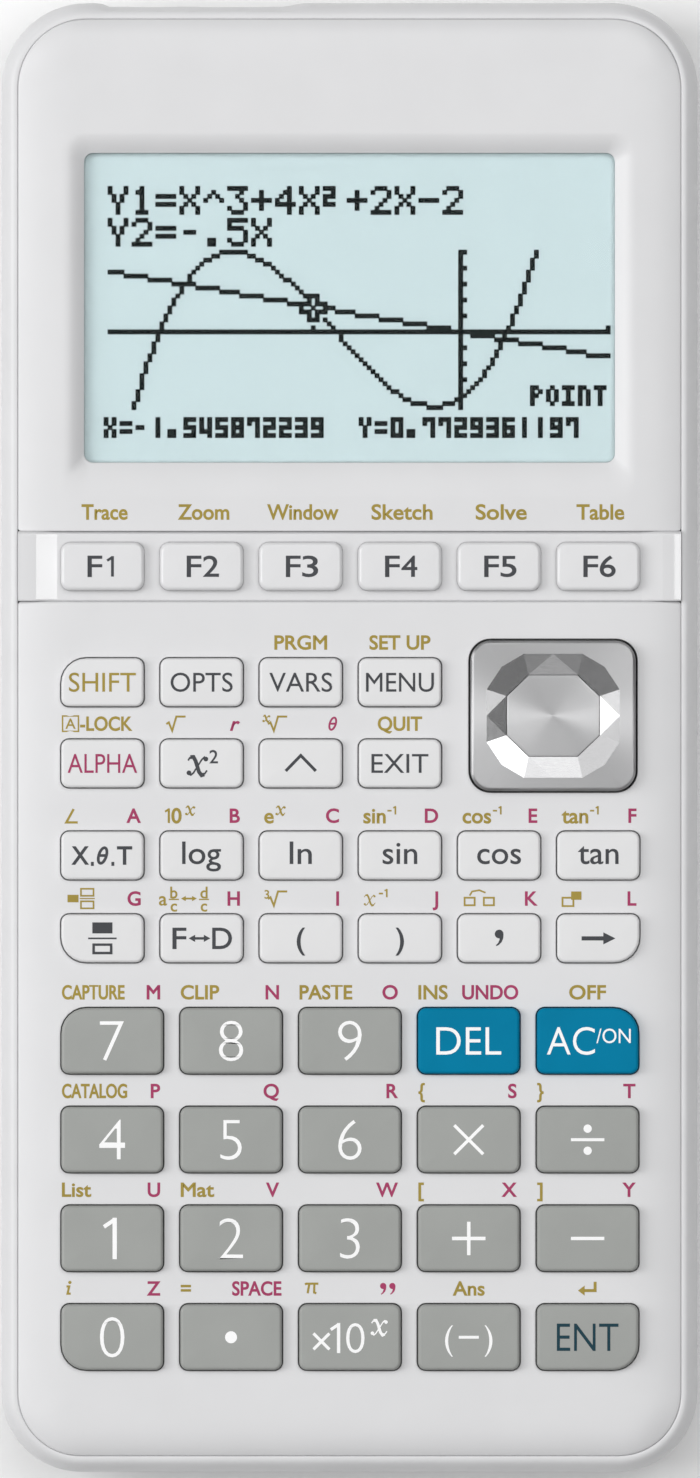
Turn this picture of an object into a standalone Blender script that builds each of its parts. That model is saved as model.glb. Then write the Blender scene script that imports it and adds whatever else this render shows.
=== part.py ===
"""A graphing calculator, lying on its back, as an assembly of its separate pieces.

The face looks along +Z, the display is towards +Y, and the origin is on the table under the middle.
Every size below is in millimetres. Meshes and places are scaled to metres as they are made.
"""

import math

import bmesh
import bpy
from mathutils import Matrix, Vector

MM = 0.001
GAP = 0.3  # between neighbouring pieces, so that none of them touch
SHARP_RADIUS = 1.7  # corners up to this radius are drawn with fewer points

# The body, seen from above
BODY_WIDTH = 83.4
BODY_LENGTH = 175.9
BODY_CORNER = 9.6
RIM_WIDTH = 2.05  # the rear case's lip, which shows as a band round the face
FACE_INSET = RIM_WIDTH + GAP
END_FACTOR = 1.5  # the face falls away over a longer distance at the two ends than at the sides

# The stack of layers, as heights over the table
FLOOR_OUT = 0.5
FLOOR_IN = 2.1
WIDEST = 9.5
BOARD_Z = (11.9, 12.9)
BOARD_HALF_X = 32.9
BOARD_BOTTOM_Y = -76.3
SKIRT_BOTTOM = 12.2
MAT_Z = (13.2, 13.7)
DOME_TOP = 14.5
FLANGE_Z = (14.8, 15.5)
FACE_UNDER = 15.8
RIM_TOP = 16.1
FACE_TOP = 17.2
LCD_Z = (13.5, 15.1)
LCD_HALF_X = 33.5
WINDOW_Z = (15.4, 16.2)

# The crowned face plate
FACE_EDGE = 16.2
CROWN_WIDTH = 4.7
SKIRT_THICK = 1.0

# The display: its opening and the sloping recess round it
WINDOW_HALF_X = 31.85
WINDOW_Y = (32.75, 70.0)
WINDOW_CORNER = 1.2
RECESS_HALF_X = 34.35
RECESS_Y = (28.4, 72.25)
RECESS_CORNER = 1.6

# The band that holds the function keys
BAND_Y = (16.3, 24.65)
BAND_HALF_X = BODY_WIDTH / 2 - FACE_INSET
BAND_SKIN = [(0.0, 16.2), (0.35, 16.5), (1.1, 16.85), (1.9, 17.0), (2.3, 16.95), (4.3, 16.6)]

# Keys
KEY_CORNER = 0.8
WIDE_CORNER = 2.9
FLANGE_WIDTH = 0.8
KEY_BEVEL = 0.35
SMALL_KEY = (9.5, 5.4)
NUMBER_KEY = (11.8, 7.5)
SMALL_TOP = 18.2
NUMBER_TOP = 18.4
FUNCTION_TOP = 17.9
COLUMN_PITCH = 11.85
COLUMN_MIDDLE = 0.1
NUMBER_PITCH = 14.2

# The cursor pad
PAD_CENTRE = (24.33, 2.6)
PAD_HALF = (9.8, 8.9)
PAD_CORNER = 2.3
PAD_TOP = 18.6
PAD_BOTTOM = 14.5
PAD_BEVEL = 0.5
PAD_PIVOT_Z = 15.2
DISH_HALF = (8.0, 7.4)
DISH_FLOOR_HALF = (5.75, 5.0)
DISH_DEPTH = 0.8
PIVOT_RADIUS = 3.0
PIVOT_POCKET = 4.5

# The battery bay and its four AAA cells
CELL_RADIUS = 5.15
CELL_LENGTH = 44.5
CELL_PITCH = 11.2
CELL_Z = 7.15
CELL_Y = 50.4
BAY_HALF_X = 23.0
BAY_Y = (25.8, 75.0)
BAY_TOP = 12.6
BAY_WALL = 3.2
COVER_HALF_X = 24.9
COVER_Y = (25.1, 78.7)
COVER_TOP = 1.7
COVER_AXIS_Y = 78.85
TAB_X = 14.0

# Fixings
SCREW_PLACES = [(side * x, y) for x, y in ((33.0, 79.0), (35.2, -29.6), (33.0, -79.0)) for side in (1, -1)]
BOSS_RADIUS = 1.9
BOSS_SPLIT = 10.85
FOOT_PLACES = [(31.5, 70.0), (-31.5, 70.0), (31.5, -69.0), (-31.5, -69.0)]
FOOT_RADIUS = 3.5
BOARD_POSTS = [(x, y) for x in (20.0, -20.0) for y in (12.0, -70.0)]
RESET_PLACE = (18.0, 10.0)
WELL_TOP = 6.2

# Sockets on the top edge
SOCKET_DIP_X = (-28.7, -8.3)
SOCKET_DIP = 0.4
USB_X = -14.0
USB_SIZE = (7.7, 3.9)
USB_Z = 10.0
JACK_X = -23.5
JACK_Z = 9.4
JACK_RADIUS = 2.7

COLOURS = {
    "shell": ((0.70, 0.70, 0.70), 0.45, 0.0),
    "band": ((0.74, 0.74, 0.74), 0.12, 0.0),
    "light_key": ((0.72, 0.72, 0.72), 0.35, 0.0),
    "grey_key": ((0.31, 0.32, 0.30), 0.45, 0.0),
    "blue_key": ((0.01, 0.20, 0.36), 0.40, 0.0),
    "pad": ((0.62, 0.62, 0.62), 0.25, 0.9),
    "window": ((0.80, 0.88, 0.90), 0.05, 0.0),
    "lcd": ((0.62, 0.76, 0.79), 0.30, 0.0),
    "board": ((0.03, 0.22, 0.10), 0.50, 0.0),
    "rubber": ((0.55, 0.56, 0.55), 0.80, 0.0),
    "cell": ((0.20, 0.22, 0.25), 0.30, 0.6),
}


def fresh_scene():
    """Empties the scene and returns the collections for the calculator and for its cutters."""
    for obj in list(bpy.data.objects):
        bpy.data.objects.remove(obj)
    made = []
    for name in ("graphing_calculator", "cutters"):
        collection = bpy.data.collections.new(name)
        bpy.context.scene.collection.children.link(collection)
        made.append(collection)
    return made


def material(name):
    """The Principled material of that name, made the first time that it is asked for."""
    found = bpy.data.materials.get(name)
    if found:
        return found
    made = bpy.data.materials.new(name)
    made.use_nodes = True
    shader = made.node_tree.nodes["Principled BSDF"]
    colour, roughness, metallic = COLOURS[name]
    shader.inputs["Base Color"].default_value = (*colour, 1.0)
    shader.inputs["Roughness"].default_value = roughness
    shader.inputs["Metallic"].default_value = metallic
    return made


def place(name, bm, look, origin=(0, 0, 0), sharp=30):
    """Turns a bmesh in millimetres round its origin into an object of the calculator."""
    bmesh.ops.recalc_face_normals(bm, faces=bm.faces)
    mesh = bpy.data.meshes.new(name)
    bm.to_mesh(mesh)
    bm.free()
    mesh.transform(Matrix.Scale(MM, 4))
    mesh.shade_smooth()
    mesh.set_sharp_from_angle(angle=math.radians(sharp))
    mesh.materials.append(material(look))
    obj = bpy.data.objects.new(name, mesh)
    obj.location = Vector(origin) * MM
    CALCULATOR.objects.link(obj)
    return obj


def helper(obj, group):
    """Moves an object into a named group of cutters or of shapes to be joined, which isn't a piece."""
    CALCULATOR.objects.unlink(obj)
    collection = bpy.data.collections.get(group)
    if not collection:
        collection = bpy.data.collections.new(group)
        CUTTERS.children.link(collection)
    collection.objects.link(obj)
    obj.hide_render = True
    obj.display_type = "WIRE"
    return collection


def combine(target, group, operation):
    """Cuts the group's shapes from the target, or joins them to it."""
    modifier = target.modifiers.new(group, "BOOLEAN")
    modifier.operation = operation
    modifier.operand_type = "COLLECTION"
    modifier.collection = bpy.data.collections[group]
    modifier.solver = "EXACT"


def rounded(half_x, half_y, corners, middle=(0.0, 0.0)):
    """A round-cornered rectangle, anticlockwise. Its corners come in the order +x+y, -x+y, -x-y, +x-y."""
    if isinstance(corners, (int, float)):
        corners = [corners] * 4
    points = []
    for quarter, radius in enumerate(corners):
        side_x = 1 if quarter in (0, 3) else -1
        side_y = 1 if quarter in (0, 1) else -1
        centre_x = middle[0] + side_x * (half_x - radius)
        centre_y = middle[1] + side_y * (half_y - radius)
        steps = 5 if radius > SHARP_RADIUS else 2
        for step in range(steps + 1):
            angle = math.pi / 2 * (quarter + step / steps)
            points.append((centre_x + radius * math.cos(angle), centre_y + radius * math.sin(angle)))
    return points


def loft(rings):
    """A closed solid through rings of equal length, each a list of points, with both ends filled."""
    bm = bmesh.new()
    rows = [[bm.verts.new(point) for point in ring] for ring in rings]
    for lower, upper in zip(rows, rows[1:]):
        for i, _ in enumerate(lower):
            k = (i + 1) % len(lower)
            bm.faces.new((lower[i], lower[k], upper[k], upper[i]))
    bm.faces.new(rows[0])
    bm.faces.new(rows[-1])
    return bm


def post(radius, low, high, at, sides=8, top_radius=None):
    """An upright cylinder between two heights."""
    return cylinder(radius, high - low, (*at, (low + high) / 2), sides=sides, top_radius=top_radius)


def grown(key, gap):
    """A key's outline, moved out by gap on every side."""
    half_x, half_y = key["half"]
    return rounded(half_x + gap, half_y + gap, [radius + gap for radius in key["corners"]], key["at"])


def at_height(outline, z):
    return [(x, y, z) for x, y in outline]


def prism(outline, bottom, top):
    return loft([at_height(outline, bottom), at_height(outline, top)])


def box(low, high):
    """A cube stretched between two corners."""
    bm = bmesh.new()
    bmesh.ops.create_cube(bm, size=1.0)
    middle = [(a + b) / 2 for a, b in zip(low, high)]
    sides = [b - a for a, b in zip(low, high)]
    bmesh.ops.transform(bm, matrix=Matrix.LocRotScale(Vector(middle), None, Vector(sides)), verts=bm.verts)
    return bm


def cylinder(radius, length, centre, axis="Z", sides=12, top_radius=None):
    """A cylinder, or a cone's frustum, centred on a point."""
    bm = bmesh.new()
    turns = {
        "Z": Matrix.Identity(4),
        "Y": Matrix.Rotation(-math.pi / 2, 4, "X"),
        "X": Matrix.Rotation(math.pi / 2, 4, "Y"),
    }
    bmesh.ops.create_cone(
        bm,
        cap_ends=True,
        segments=sides,
        radius1=radius,
        radius2=radius if top_radius is None else top_radius,
        depth=length,
        matrix=Matrix.Translation(centre) @ turns[axis],
    )
    return bm


def body_outline(inset, end_inset=None):
    """The body's outline, moved in by inset at the sides and by end_inset at the two ends."""
    end_inset = inset if end_inset is None else end_inset
    radius = max(BODY_CORNER - inset, 1.6)
    return rounded(BODY_WIDTH / 2 - inset, BODY_LENGTH / 2 - end_inset, radius)


def quarter_curve(width, height, steps):
    """(inset, rise) down a quarter of an ellipse, from the widest line to the flat."""
    for step in range(steps + 1):
        angle = math.pi / 2 * step / steps
        yield width * (1 - math.cos(angle)), height * math.sin(angle)


def make_rear_case():
    floor_inset = 5.6
    lower = [(inset, WIDEST - drop) for inset, drop in quarter_curve(floor_inset, WIDEST - FLOOR_OUT, 5)]
    upper = [(inset, WIDEST + rise) for inset, rise in quarter_curve(RIM_WIDTH, RIM_TOP - WIDEST, 5)]
    inside = [(RIM_WIDTH, 6.5), (2.7, 4.2), (3.8, 2.8), (floor_inset, FLOOR_IN)]
    profile = lower[::-1] + upper[1:] + inside
    tub = place("rear_case", loft([at_height(body_outline(i), z) for i, z in profile]), "shell")

    bay_outer = (BAY_HALF_X + BAY_WALL, BAY_Y[0] - 1.9, BAY_Y[1] + 1.0)
    joined = [
        box((-bay_outer[0], bay_outer[1], 1.0), (bay_outer[0], bay_outer[2], BAY_TOP + 0.6)),
        box((-bay_outer[0], bay_outer[1], 1.0), (bay_outer[0], COVER_Y[1] + 1.2, 3.3)),
    ]
    inside_floor = FLOOR_IN - 0.6
    joined += [post(BOSS_RADIUS + GAP, inside_floor, BOSS_SPLIT - GAP / 2, at) for at in SCREW_PLACES]
    joined += [post(1.8, inside_floor, BOARD_Z[0] - GAP, at, sides=6) for at in BOARD_POSTS]
    joined += [post(FOOT_RADIUS, 0.0, 1.0, at, 12, FOOT_RADIUS + 0.5) for at in FOOT_PLACES]
    for number, shape in enumerate(joined):
        helper(place(f"rear_join_{number}", shape, "shell"), "rear_joins")

    dip_low, dip_high = SOCKET_DIP_X
    edge = BODY_LENGTH / 2 - SOCKET_DIP
    dip = [(dip_low - 1.6, edge + 2.0), (dip_low, edge), (dip_high, edge), (dip_high + 3.0, edge + 2.0)]
    usb_half = USB_SIZE[0] / 2 + 0.35
    usb_rise = USB_SIZE[1] / 2 + 0.35
    cuts = [
        box((-BAY_HALF_X, BAY_Y[0], -1.0), (BAY_HALF_X, BAY_Y[1], BAY_TOP)),
        box(
            (-COVER_HALF_X - GAP, COVER_Y[0] - GAP, -1.0),
            (COVER_HALF_X + GAP, COVER_Y[1] + GAP, COVER_TOP + GAP),
        ),
        prism(dip, -1.0, RIM_TOP + 1.0),
        box(
            (USB_X - usb_half, BODY_LENGTH / 2 - 4.0, USB_Z - usb_rise),
            (USB_X + usb_half, BODY_LENGTH / 2 + 2.0, USB_Z + usb_rise),
        ),
        cylinder(JACK_RADIUS + 0.4, 6.0, (JACK_X, BODY_LENGTH / 2 - 1.0, JACK_Z), "Y"),
        post(0.9, -1.0, 3.2, RESET_PLACE),
    ]
    for x in (TAB_X, -TAB_X):
        cuts.append(box((x - 4.3, 75.6, COVER_TOP + 0.25), (x + 4.3, 81.0, 3.8)))
    cuts += [post(1.5, -1.0, WELL_TOP, at) for at in SCREW_PLACES]
    for number, shape in enumerate(cuts):
        helper(place(f"rear_cut_{number}", shape, "shell"), "rear_cuts")
    combine(tub, "rear_joins", "UNION")
    combine(tub, "rear_cuts", "DIFFERENCE")


def crown(share):
    """(inset at the sides, inset at the ends, height) of the face, from its edge at 0 to its flat at 1."""
    run = CROWN_WIDTH * share
    height = FACE_TOP - (FACE_TOP - FACE_EDGE) * (1 - share) ** 2
    return FACE_INSET + run, FACE_INSET + run * END_FACTOR, height


def make_front_case():
    inner = FACE_INSET + SKIRT_THICK
    rings = [
        at_height(body_outline(inner), FACE_UNDER),
        at_height(body_outline(inner), SKIRT_BOTTOM),
        at_height(body_outline(FACE_INSET), SKIRT_BOTTOM),
        at_height(body_outline(FACE_INSET), FACE_EDGE - 0.3),
    ]
    for share in (0.04, 0.15, 0.3, 0.5, 0.75, 1.0):
        side, end, height = crown(share)
        rings.append(at_height(body_outline(side, end), height))
    shell = place("front_case", loft(rings), "shell")

    rib_x = BODY_WIDTH / 2 - inner + 0.2
    rib_bottom, inside_face = DOME_TOP - GAP, FACE_UNDER + 0.2
    joined = [
        box((-rib_x, BAND_Y[1] - 0.25, rib_bottom), (rib_x, BAND_Y[1] + 1.5, inside_face)),
        box((-rib_x, BAND_Y[0] - 1.6, rib_bottom), (rib_x, BAND_Y[0] + 0.25, inside_face)),
    ]
    joined += [post(BOSS_RADIUS, BOSS_SPLIT + GAP / 2, inside_face, at) for at in SCREW_PLACES]
    for number, shape in enumerate(joined):
        helper(place(f"front_join_{number}", shape, "shell"), "front_joins")

    window_middle = (0.0, sum(WINDOW_Y) / 2)
    window = rounded(WINDOW_HALF_X, (WINDOW_Y[1] - WINDOW_Y[0]) / 2, WINDOW_CORNER, window_middle)
    recess_middle = (0.0, sum(RECESS_Y) / 2)
    recess = rounded(RECESS_HALF_X, (RECESS_Y[1] - RECESS_Y[0]) / 2, RECESS_CORNER, recess_middle)
    over = 1.3  # the recess's slopes run on past the face by this share of their height
    above = [(a + (c - a) * over, b + (d - b) * over) for (a, b), (c, d) in zip(window, recess)]
    cuts = [
        loft(
            [
                at_height(window, FACE_UNDER - 1.0),
                at_height(window, WINDOW_Z[1]),
                at_height(above, WINDOW_Z[1] + (FACE_TOP - WINDOW_Z[1]) * over),
            ]
        ),
        box(
            (-BODY_WIDTH, BAND_Y[0] - GAP, FACE_UNDER - GAP),
            (BODY_WIDTH, BAND_Y[1] + GAP, FACE_TOP + 2.0),
        ),
        prism(
            rounded(PAD_HALF[0] + GAP, PAD_HALF[1] + GAP, PAD_CORNER + GAP, PAD_CENTRE),
            FACE_UNDER - 1.0,
            FACE_TOP + 1.0,
        ),
    ]
    for key in KEYS:
        if key["look"] != "band":
            cuts.append(prism(grown(key, GAP), FACE_UNDER - 1.0, FACE_TOP + 1.0))
    for number, shape in enumerate(cuts):
        helper(place(f"front_cut_{number}", shape, "shell"), "front_cuts")
    combine(shell, "front_joins", "UNION")
    combine(shell, "front_cuts", "DIFFERENCE")


def make_function_key_panel():
    left = [(x - BAND_HALF_X, z) for x, z in BAND_SKIN]
    right = [(-x, z) for x, z in reversed(left)]
    outline = [(-BAND_HALF_X, FACE_UNDER)] + left + right + [(BAND_HALF_X, FACE_UNDER)]
    sections = [[(x, y, z) for x, z in outline] for y in BAND_Y]
    panel = place("function_key_panel", loft(sections), "band")
    for number, key in enumerate(k for k in KEYS if k["look"] == "band"):
        hole = prism(grown(key, GAP), FACE_UNDER - 1.0, FACE_TOP + 1.0)
        helper(place(f"band_cut_{number}", hole, "band"), "band_cuts")
    combine(panel, "band_cuts", "DIFFERENCE")


def make_display():
    middle = (0.0, sum(WINDOW_Y) / 2)
    half_y = (WINDOW_Y[1] - WINDOW_Y[0]) / 2
    chamfer = 0.15
    edge, crest = (
        rounded(WINDOW_HALF_X - inset, half_y - inset, WINDOW_CORNER - inset, middle)
        for inset in (GAP, GAP + chamfer)
    )
    low, high = WINDOW_Z
    rings = [at_height(edge, low), at_height(edge, high - chamfer), at_height(crest, high)]
    place("display_window", loft(rings), "window")

    ledge = 1.2
    lower = rounded(LCD_HALF_X, half_y + 1.5 * ledge, 0.5, middle)
    upper = rounded(LCD_HALF_X - ledge, half_y + 0.5 * ledge, 0.5, (0.0, middle[1] + 0.5 * ledge))
    low, high = LCD_Z
    split = (low + high) / 2
    rings = [at_height(lower, low), at_height(lower, split), at_height(upper, split), at_height(upper, high)]
    place("lcd_module", loft(rings), "lcd")


def make_main_board():
    arm = -BAY_HALF_X - BAY_WALL - 0.6
    arm_foot, arm_head = BAY_Y[0] - 2.2, BAY_Y[1] + 1.6
    top = BODY_LENGTH / 2 - FACE_INSET - SKIRT_THICK - GAP
    outline = [
        (-BOARD_HALF_X, BOARD_BOTTOM_Y),
        (BOARD_HALF_X, BOARD_BOTTOM_Y),
        (BOARD_HALF_X, arm_foot),
        (arm, arm_foot),
        (arm, arm_head),
        (-6.0, arm_head),
        (-6.0, top),
        (-30.6, top),
        (-30.6, arm_head),
        (-BOARD_HALF_X, arm_head),
    ]
    board = place("main_board", prism(outline, *BOARD_Z), "board")
    face = BODY_LENGTH / 2 - SOCKET_DIP - 0.5
    half, rise = USB_SIZE[0] / 2, USB_SIZE[1] / 2
    joined = [
        box((USB_X - half, 78.5, USB_Z - rise), (USB_X + half, face, BOARD_Z[0] + 0.2)),
        box((JACK_X - 3.2, 78.0, JACK_Z - 2.9), (JACK_X + 3.2, top, BOARD_Z[0] + 0.2)),
        cylinder(JACK_RADIUS, 4.0, (JACK_X, face - 2.0, JACK_Z), "Y"),
        box((-9.0, -12.0, BOARD_Z[0] - 1.2), (7.0, 4.0, BOARD_Z[0] + 0.2)),
    ]
    cuts = [
        box((USB_X - 3.45, face - 6.0, USB_Z - 1.55), (USB_X + 3.45, face + 1.0, USB_Z + 1.55)),
        cylinder(1.3, 8.0, (JACK_X, face - 3.0, JACK_Z), "Y", sides=8),
    ]
    for number, shape in enumerate(joined):
        helper(place(f"board_join_{number}", shape, "board"), "board_joins")
    for number, shape in enumerate(cuts):
        helper(place(f"board_cut_{number}", shape, "board"), "board_cuts")
    combine(board, "board_joins", "UNION")
    combine(board, "board_cuts", "DIFFERENCE")


def make_keypad_mat():
    low, high = BOARD_BOTTOM_Y + 1.0, BAY_Y[0] - 2.3
    sheet = prism(rounded(BOARD_HALF_X, (high - low) / 2, 1.0, (0.0, (low + high) / 2)), *MAT_Z)
    mat = place("keypad_mat", sheet, "rubber")
    places = [key["at"] for key in KEYS]
    reach_x, reach_y = PAD_HALF[0] - 2.6, PAD_HALF[1] - 2.4
    for turn in range(4):
        angle = math.pi / 2 * turn
        x = PAD_CENTRE[0] + reach_x * math.cos(angle)
        places.append((x, PAD_CENTRE[1] + reach_y * math.sin(angle)))
    for number, (x, y) in enumerate(places):
        high = DOME_TOP if number < len(KEYS) else DOME_TOP - GAP
        dome = post(2.3, MAT_Z[1] - 0.2, high, (x, y), sides=6, top_radius=1.6)
        helper(place(f"dome_{number}", dome, "rubber"), "domes")
    combine(mat, "domes", "UNION")


def make_battery_cover():
    middle = (0.0, sum(COVER_Y) / 2)
    half_y = (COVER_Y[1] - COVER_Y[0]) / 2
    plate = prism(rounded(COVER_HALF_X, half_y, 0.9, middle), FLOOR_OUT, COVER_TOP)
    cover = place("battery_cover", plate, "shell")
    hook_z = (FLOOR_IN + GAP, FLOOR_IN + GAP + 0.8)
    for x in (TAB_X, -TAB_X):
        riser = box((x - 4.0, COVER_Y[1] - 1.1, COVER_TOP - 0.5), (x + 4.0, COVER_Y[1] - 0.2, hook_z[1]))
        hook = box((x - 4.0, COVER_Y[1] - 0.5, hook_z[0]), (x + 4.0, COVER_Y[1] + 1.7, hook_z[1]))
        helper(place(f"tab_riser_{x}", riser, "shell"), "cover_joins")
        helper(place(f"tab_hook_{x}", hook, "shell"), "cover_joins")
    scoop = cylinder(6.0, 16.0, (0.0, COVER_Y[0] + 4.5, FLOOR_OUT - 5.2), "X", sides=24)
    helper(place("cover_scoop", scoop, "shell"), "cover_cuts")
    combine(cover, "cover_joins", "UNION")
    combine(cover, "cover_cuts", "DIFFERENCE")
    move_origin(cover, (0.0, COVER_AXIS_Y, FLOOR_OUT))


def move_origin(obj, point):
    """Puts the object's origin at that point and leaves its shape where it is."""
    shift = Vector(point) * MM - obj.location
    obj.data.transform(Matrix.Translation(-shift))
    obj.location = obj.location + shift


def make_cells():
    """Each cell is a turned profile: the can, its crimped shoulder and the positive nub."""
    half = CELL_LENGTH / 2
    profile = [(1.9, half), (1.9, half - 0.9), (4.6, half - 0.9), (CELL_RADIUS, half - 1.6)]
    profile += [(CELL_RADIUS, 0.4 - half), (CELL_RADIUS - 0.4, -half)]
    for number in range(4):
        bm = bmesh.new()
        line = [bm.verts.new((0.0, 0.0, half))]
        line += [bm.verts.new((radius, 0.0, z)) for radius, z in profile]
        line.append(bm.verts.new((0.0, 0.0, -half)))
        for lower, upper in zip(line, line[1:]):
            bm.edges.new((lower, upper))
        cell = place(f"battery_{number + 1}", bm, "cell", (CELL_PITCH * (number - 1.5), CELL_Y, CELL_Z))
        screw = cell.modifiers.new("turn", "SCREW")
        screw.steps = screw.render_steps = 14
        screw.use_merge_vertices = True
        screw.merge_threshold = 1e-5
        cell.rotation_euler.x = math.pi / 2 if number % 2 else -math.pi / 2


def key_row(names, y, size, top, look, pitch, middle, corners=None):
    """The keys of one row, from left to right. corners gives the wide corners of some of them."""
    start = middle - pitch * (len(names) - 1) / 2
    keys = []
    for column, name in enumerate(names):
        radii = [KEY_CORNER] * 4
        for corner in (corners or {}).get(name, ()):
            radii[corner] = WIDE_CORNER
        keys.append(
            {
                "name": "key_" + name,
                "at": (start + pitch * column, y),
                "half": (size[0] / 2, size[1] / 2),
                "top": top,
                "look": look,
                "corners": radii,
            }
        )
    return keys


def all_keys():
    upper_left, lower_left, upper_right, lower_right = 1, 2, 0, 3
    small = (SMALL_KEY, SMALL_TOP, "light_key", COLUMN_PITCH)
    number = (NUMBER_KEY, NUMBER_TOP, "grey_key", NUMBER_PITCH)
    left_of_pad = COLUMN_MIDDLE - COLUMN_PITCH
    functions = [f"f{n}" for n in range(1, 7)]
    keys = key_row(functions, 20.45, (9.5, 5.3), FUNCTION_TOP, "band", COLUMN_PITCH, COLUMN_MIDDLE)
    keys += key_row(
        ["shift", "option", "variables", "menu"], 6.6, *small, left_of_pad, {"shift": [upper_left]}
    )
    keys += key_row(["alpha", "square", "power", "exit"], -3.1, *small, left_of_pad)
    keys += key_row(["x_variable", "log", "ln", "sin", "cos", "tan"], -14.1, *small, COLUMN_MIDDLE)
    keys += key_row(
        ["fraction", "convert", "open_bracket", "close_bracket", "comma", "store"],
        -24.0,
        *small,
        COLUMN_MIDDLE,
        {"fraction": [lower_left], "store": [lower_right]},
    )
    blue = {"delete", "clear"}
    rows = (
        ["7", "8", "9", "delete", "clear"],
        ["4", "5", "6", "multiply", "divide"],
        ["1", "2", "3", "plus", "minus"],
        ["0", "point", "exponent", "negative", "enter"],
    )
    wide = {"7": [upper_left], "clear": [upper_right], "0": [lower_left], "enter": [lower_right]}
    for line, names in enumerate(rows):
        keys += key_row(names, -36.25 - 11.8 * line, *number, 0.05, wide)
    for key in keys:
        if key["name"][4:] in blue:
            key["look"] = "blue_key"
    return keys


def make_key(key):
    """A cap with a flange under the face that keeps it in, and a bevel round its top."""
    half_x, half_y = key["half"]
    wide = rounded(half_x + FLANGE_WIDTH, half_y + FLANGE_WIDTH, key["corners"])
    body = rounded(half_x, half_y, key["corners"])
    crest = rounded(half_x - KEY_BEVEL, half_y - KEY_BEVEL, [r - KEY_BEVEL for r in key["corners"]])
    flange_low, flange_high = FLANGE_Z
    top = key["top"]
    rings = [at_height(wide, 0.0), at_height(wide, flange_high - flange_low)]
    rings += [at_height(body, flange_high - flange_low), at_height(body, top - KEY_BEVEL - flange_low)]
    rings.append(at_height(crest, top - flange_low))
    place(key["name"], loft(rings), key["look"], (*key["at"], flange_low))


def dish_points():
    """The faceted dish: a twelve-sided rim with a peak on each long side, round an eight-sided floor."""
    wide_x, wide_y = DISH_HALF
    quarter = [(wide_x, 0.32 * wide_y), (0.76 * wide_x, 0.81 * wide_y), (0.39 * wide_x, wide_y)]
    rim = [(sx * x, sy * y) for x, y in quarter for sx in (1, -1) for sy in (1, -1)]
    peak = 0.12
    rim += [(wide_x + peak, 0.0), (-wide_x - peak, 0.0), (0.0, wide_y + peak), (0.0, -wide_y - peak)]
    floor_x, floor_y = DISH_FLOOR_HALF
    corner = [(floor_x, 0.5 * floor_y), (0.52 * floor_x, floor_y)]
    floor = [(sx * x, sy * y) for x, y in corner for sx in (1, -1) for sy in (1, -1)]
    return rim, floor


def make_cursor_pad():
    tab_reach, tab_half, tab_thick = 0.8, 3.5, 0.5
    origin_z = PAD_PIVOT_Z
    body = rounded(*PAD_HALF, PAD_CORNER)
    crest = rounded(PAD_HALF[0] - PAD_BEVEL, PAD_HALF[1] - PAD_BEVEL, PAD_CORNER - PAD_BEVEL)
    rings = [
        at_height(body, PAD_BOTTOM - origin_z),
        at_height(body, PAD_TOP - PAD_BEVEL - origin_z),
        at_height(crest, PAD_TOP - origin_z),
    ]
    origin = (*PAD_CENTRE, origin_z)
    pad = place("cursor_pad", loft(rings), "pad", origin, sharp=15)

    low = PAD_BOTTOM - origin_z
    reach_x, reach_y = PAD_HALF[0] + tab_reach, PAD_HALF[1] + tab_reach
    tabs = [
        box((-reach_x, -tab_half, low), (reach_x, tab_half, low + tab_thick)),
        box((-tab_half, -reach_y, low), (tab_half, reach_y, low + tab_thick)),
    ]
    for number, shape in enumerate(tabs):
        helper(place(f"pad_tab_{number}", shape, "pad", origin), "pad_joins")

    rim, floor = dish_points()
    over = 1.25  # the dish's facets run on past the pad's top by this share of their depth
    dish = bmesh.new()
    for x, y in rim:
        dish.verts.new((x * 1.06, y * 1.06, PAD_TOP - DISH_DEPTH + DISH_DEPTH * over - origin_z))
    for x, y in floor:
        dish.verts.new((x, y, PAD_TOP - DISH_DEPTH - origin_z))
    bmesh.ops.convex_hull(dish, input=dish.verts)
    helper(place("pad_dish", dish, "pad", origin, sharp=10), "pad_cuts")
    pocket_top = PAD_PIVOT_Z + 0.8
    pocket = post(PIVOT_POCKET, PAD_BOTTOM - 1.0 - origin_z, pocket_top - origin_z, (0.0, 0.0), sides=12)
    helper(place("pad_pocket", pocket, "pad", origin), "pad_cuts")
    combine(pad, "pad_joins", "UNION")
    combine(pad, "pad_cuts", "DIFFERENCE")

    low, high = MAT_Z[1] + GAP - origin_z, pocket_top - GAP - origin_z
    pivot = post(PIVOT_RADIUS, low, high, (0.0, 0.0), sides=12, top_radius=PIVOT_RADIUS - 0.8)
    place("cursor_pivot", pivot, "rubber", origin)


CALCULATOR, CUTTERS = fresh_scene()
KEYS = all_keys()
make_rear_case()
make_front_case()
make_function_key_panel()
make_display()
make_main_board()
make_keypad_mat()
make_battery_cover()
make_cells()
make_cursor_pad()
for each_key in KEYS:
    make_key(each_key)
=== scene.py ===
import math

import bmesh
import bpy
from mathutils import Matrix, Vector


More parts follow.
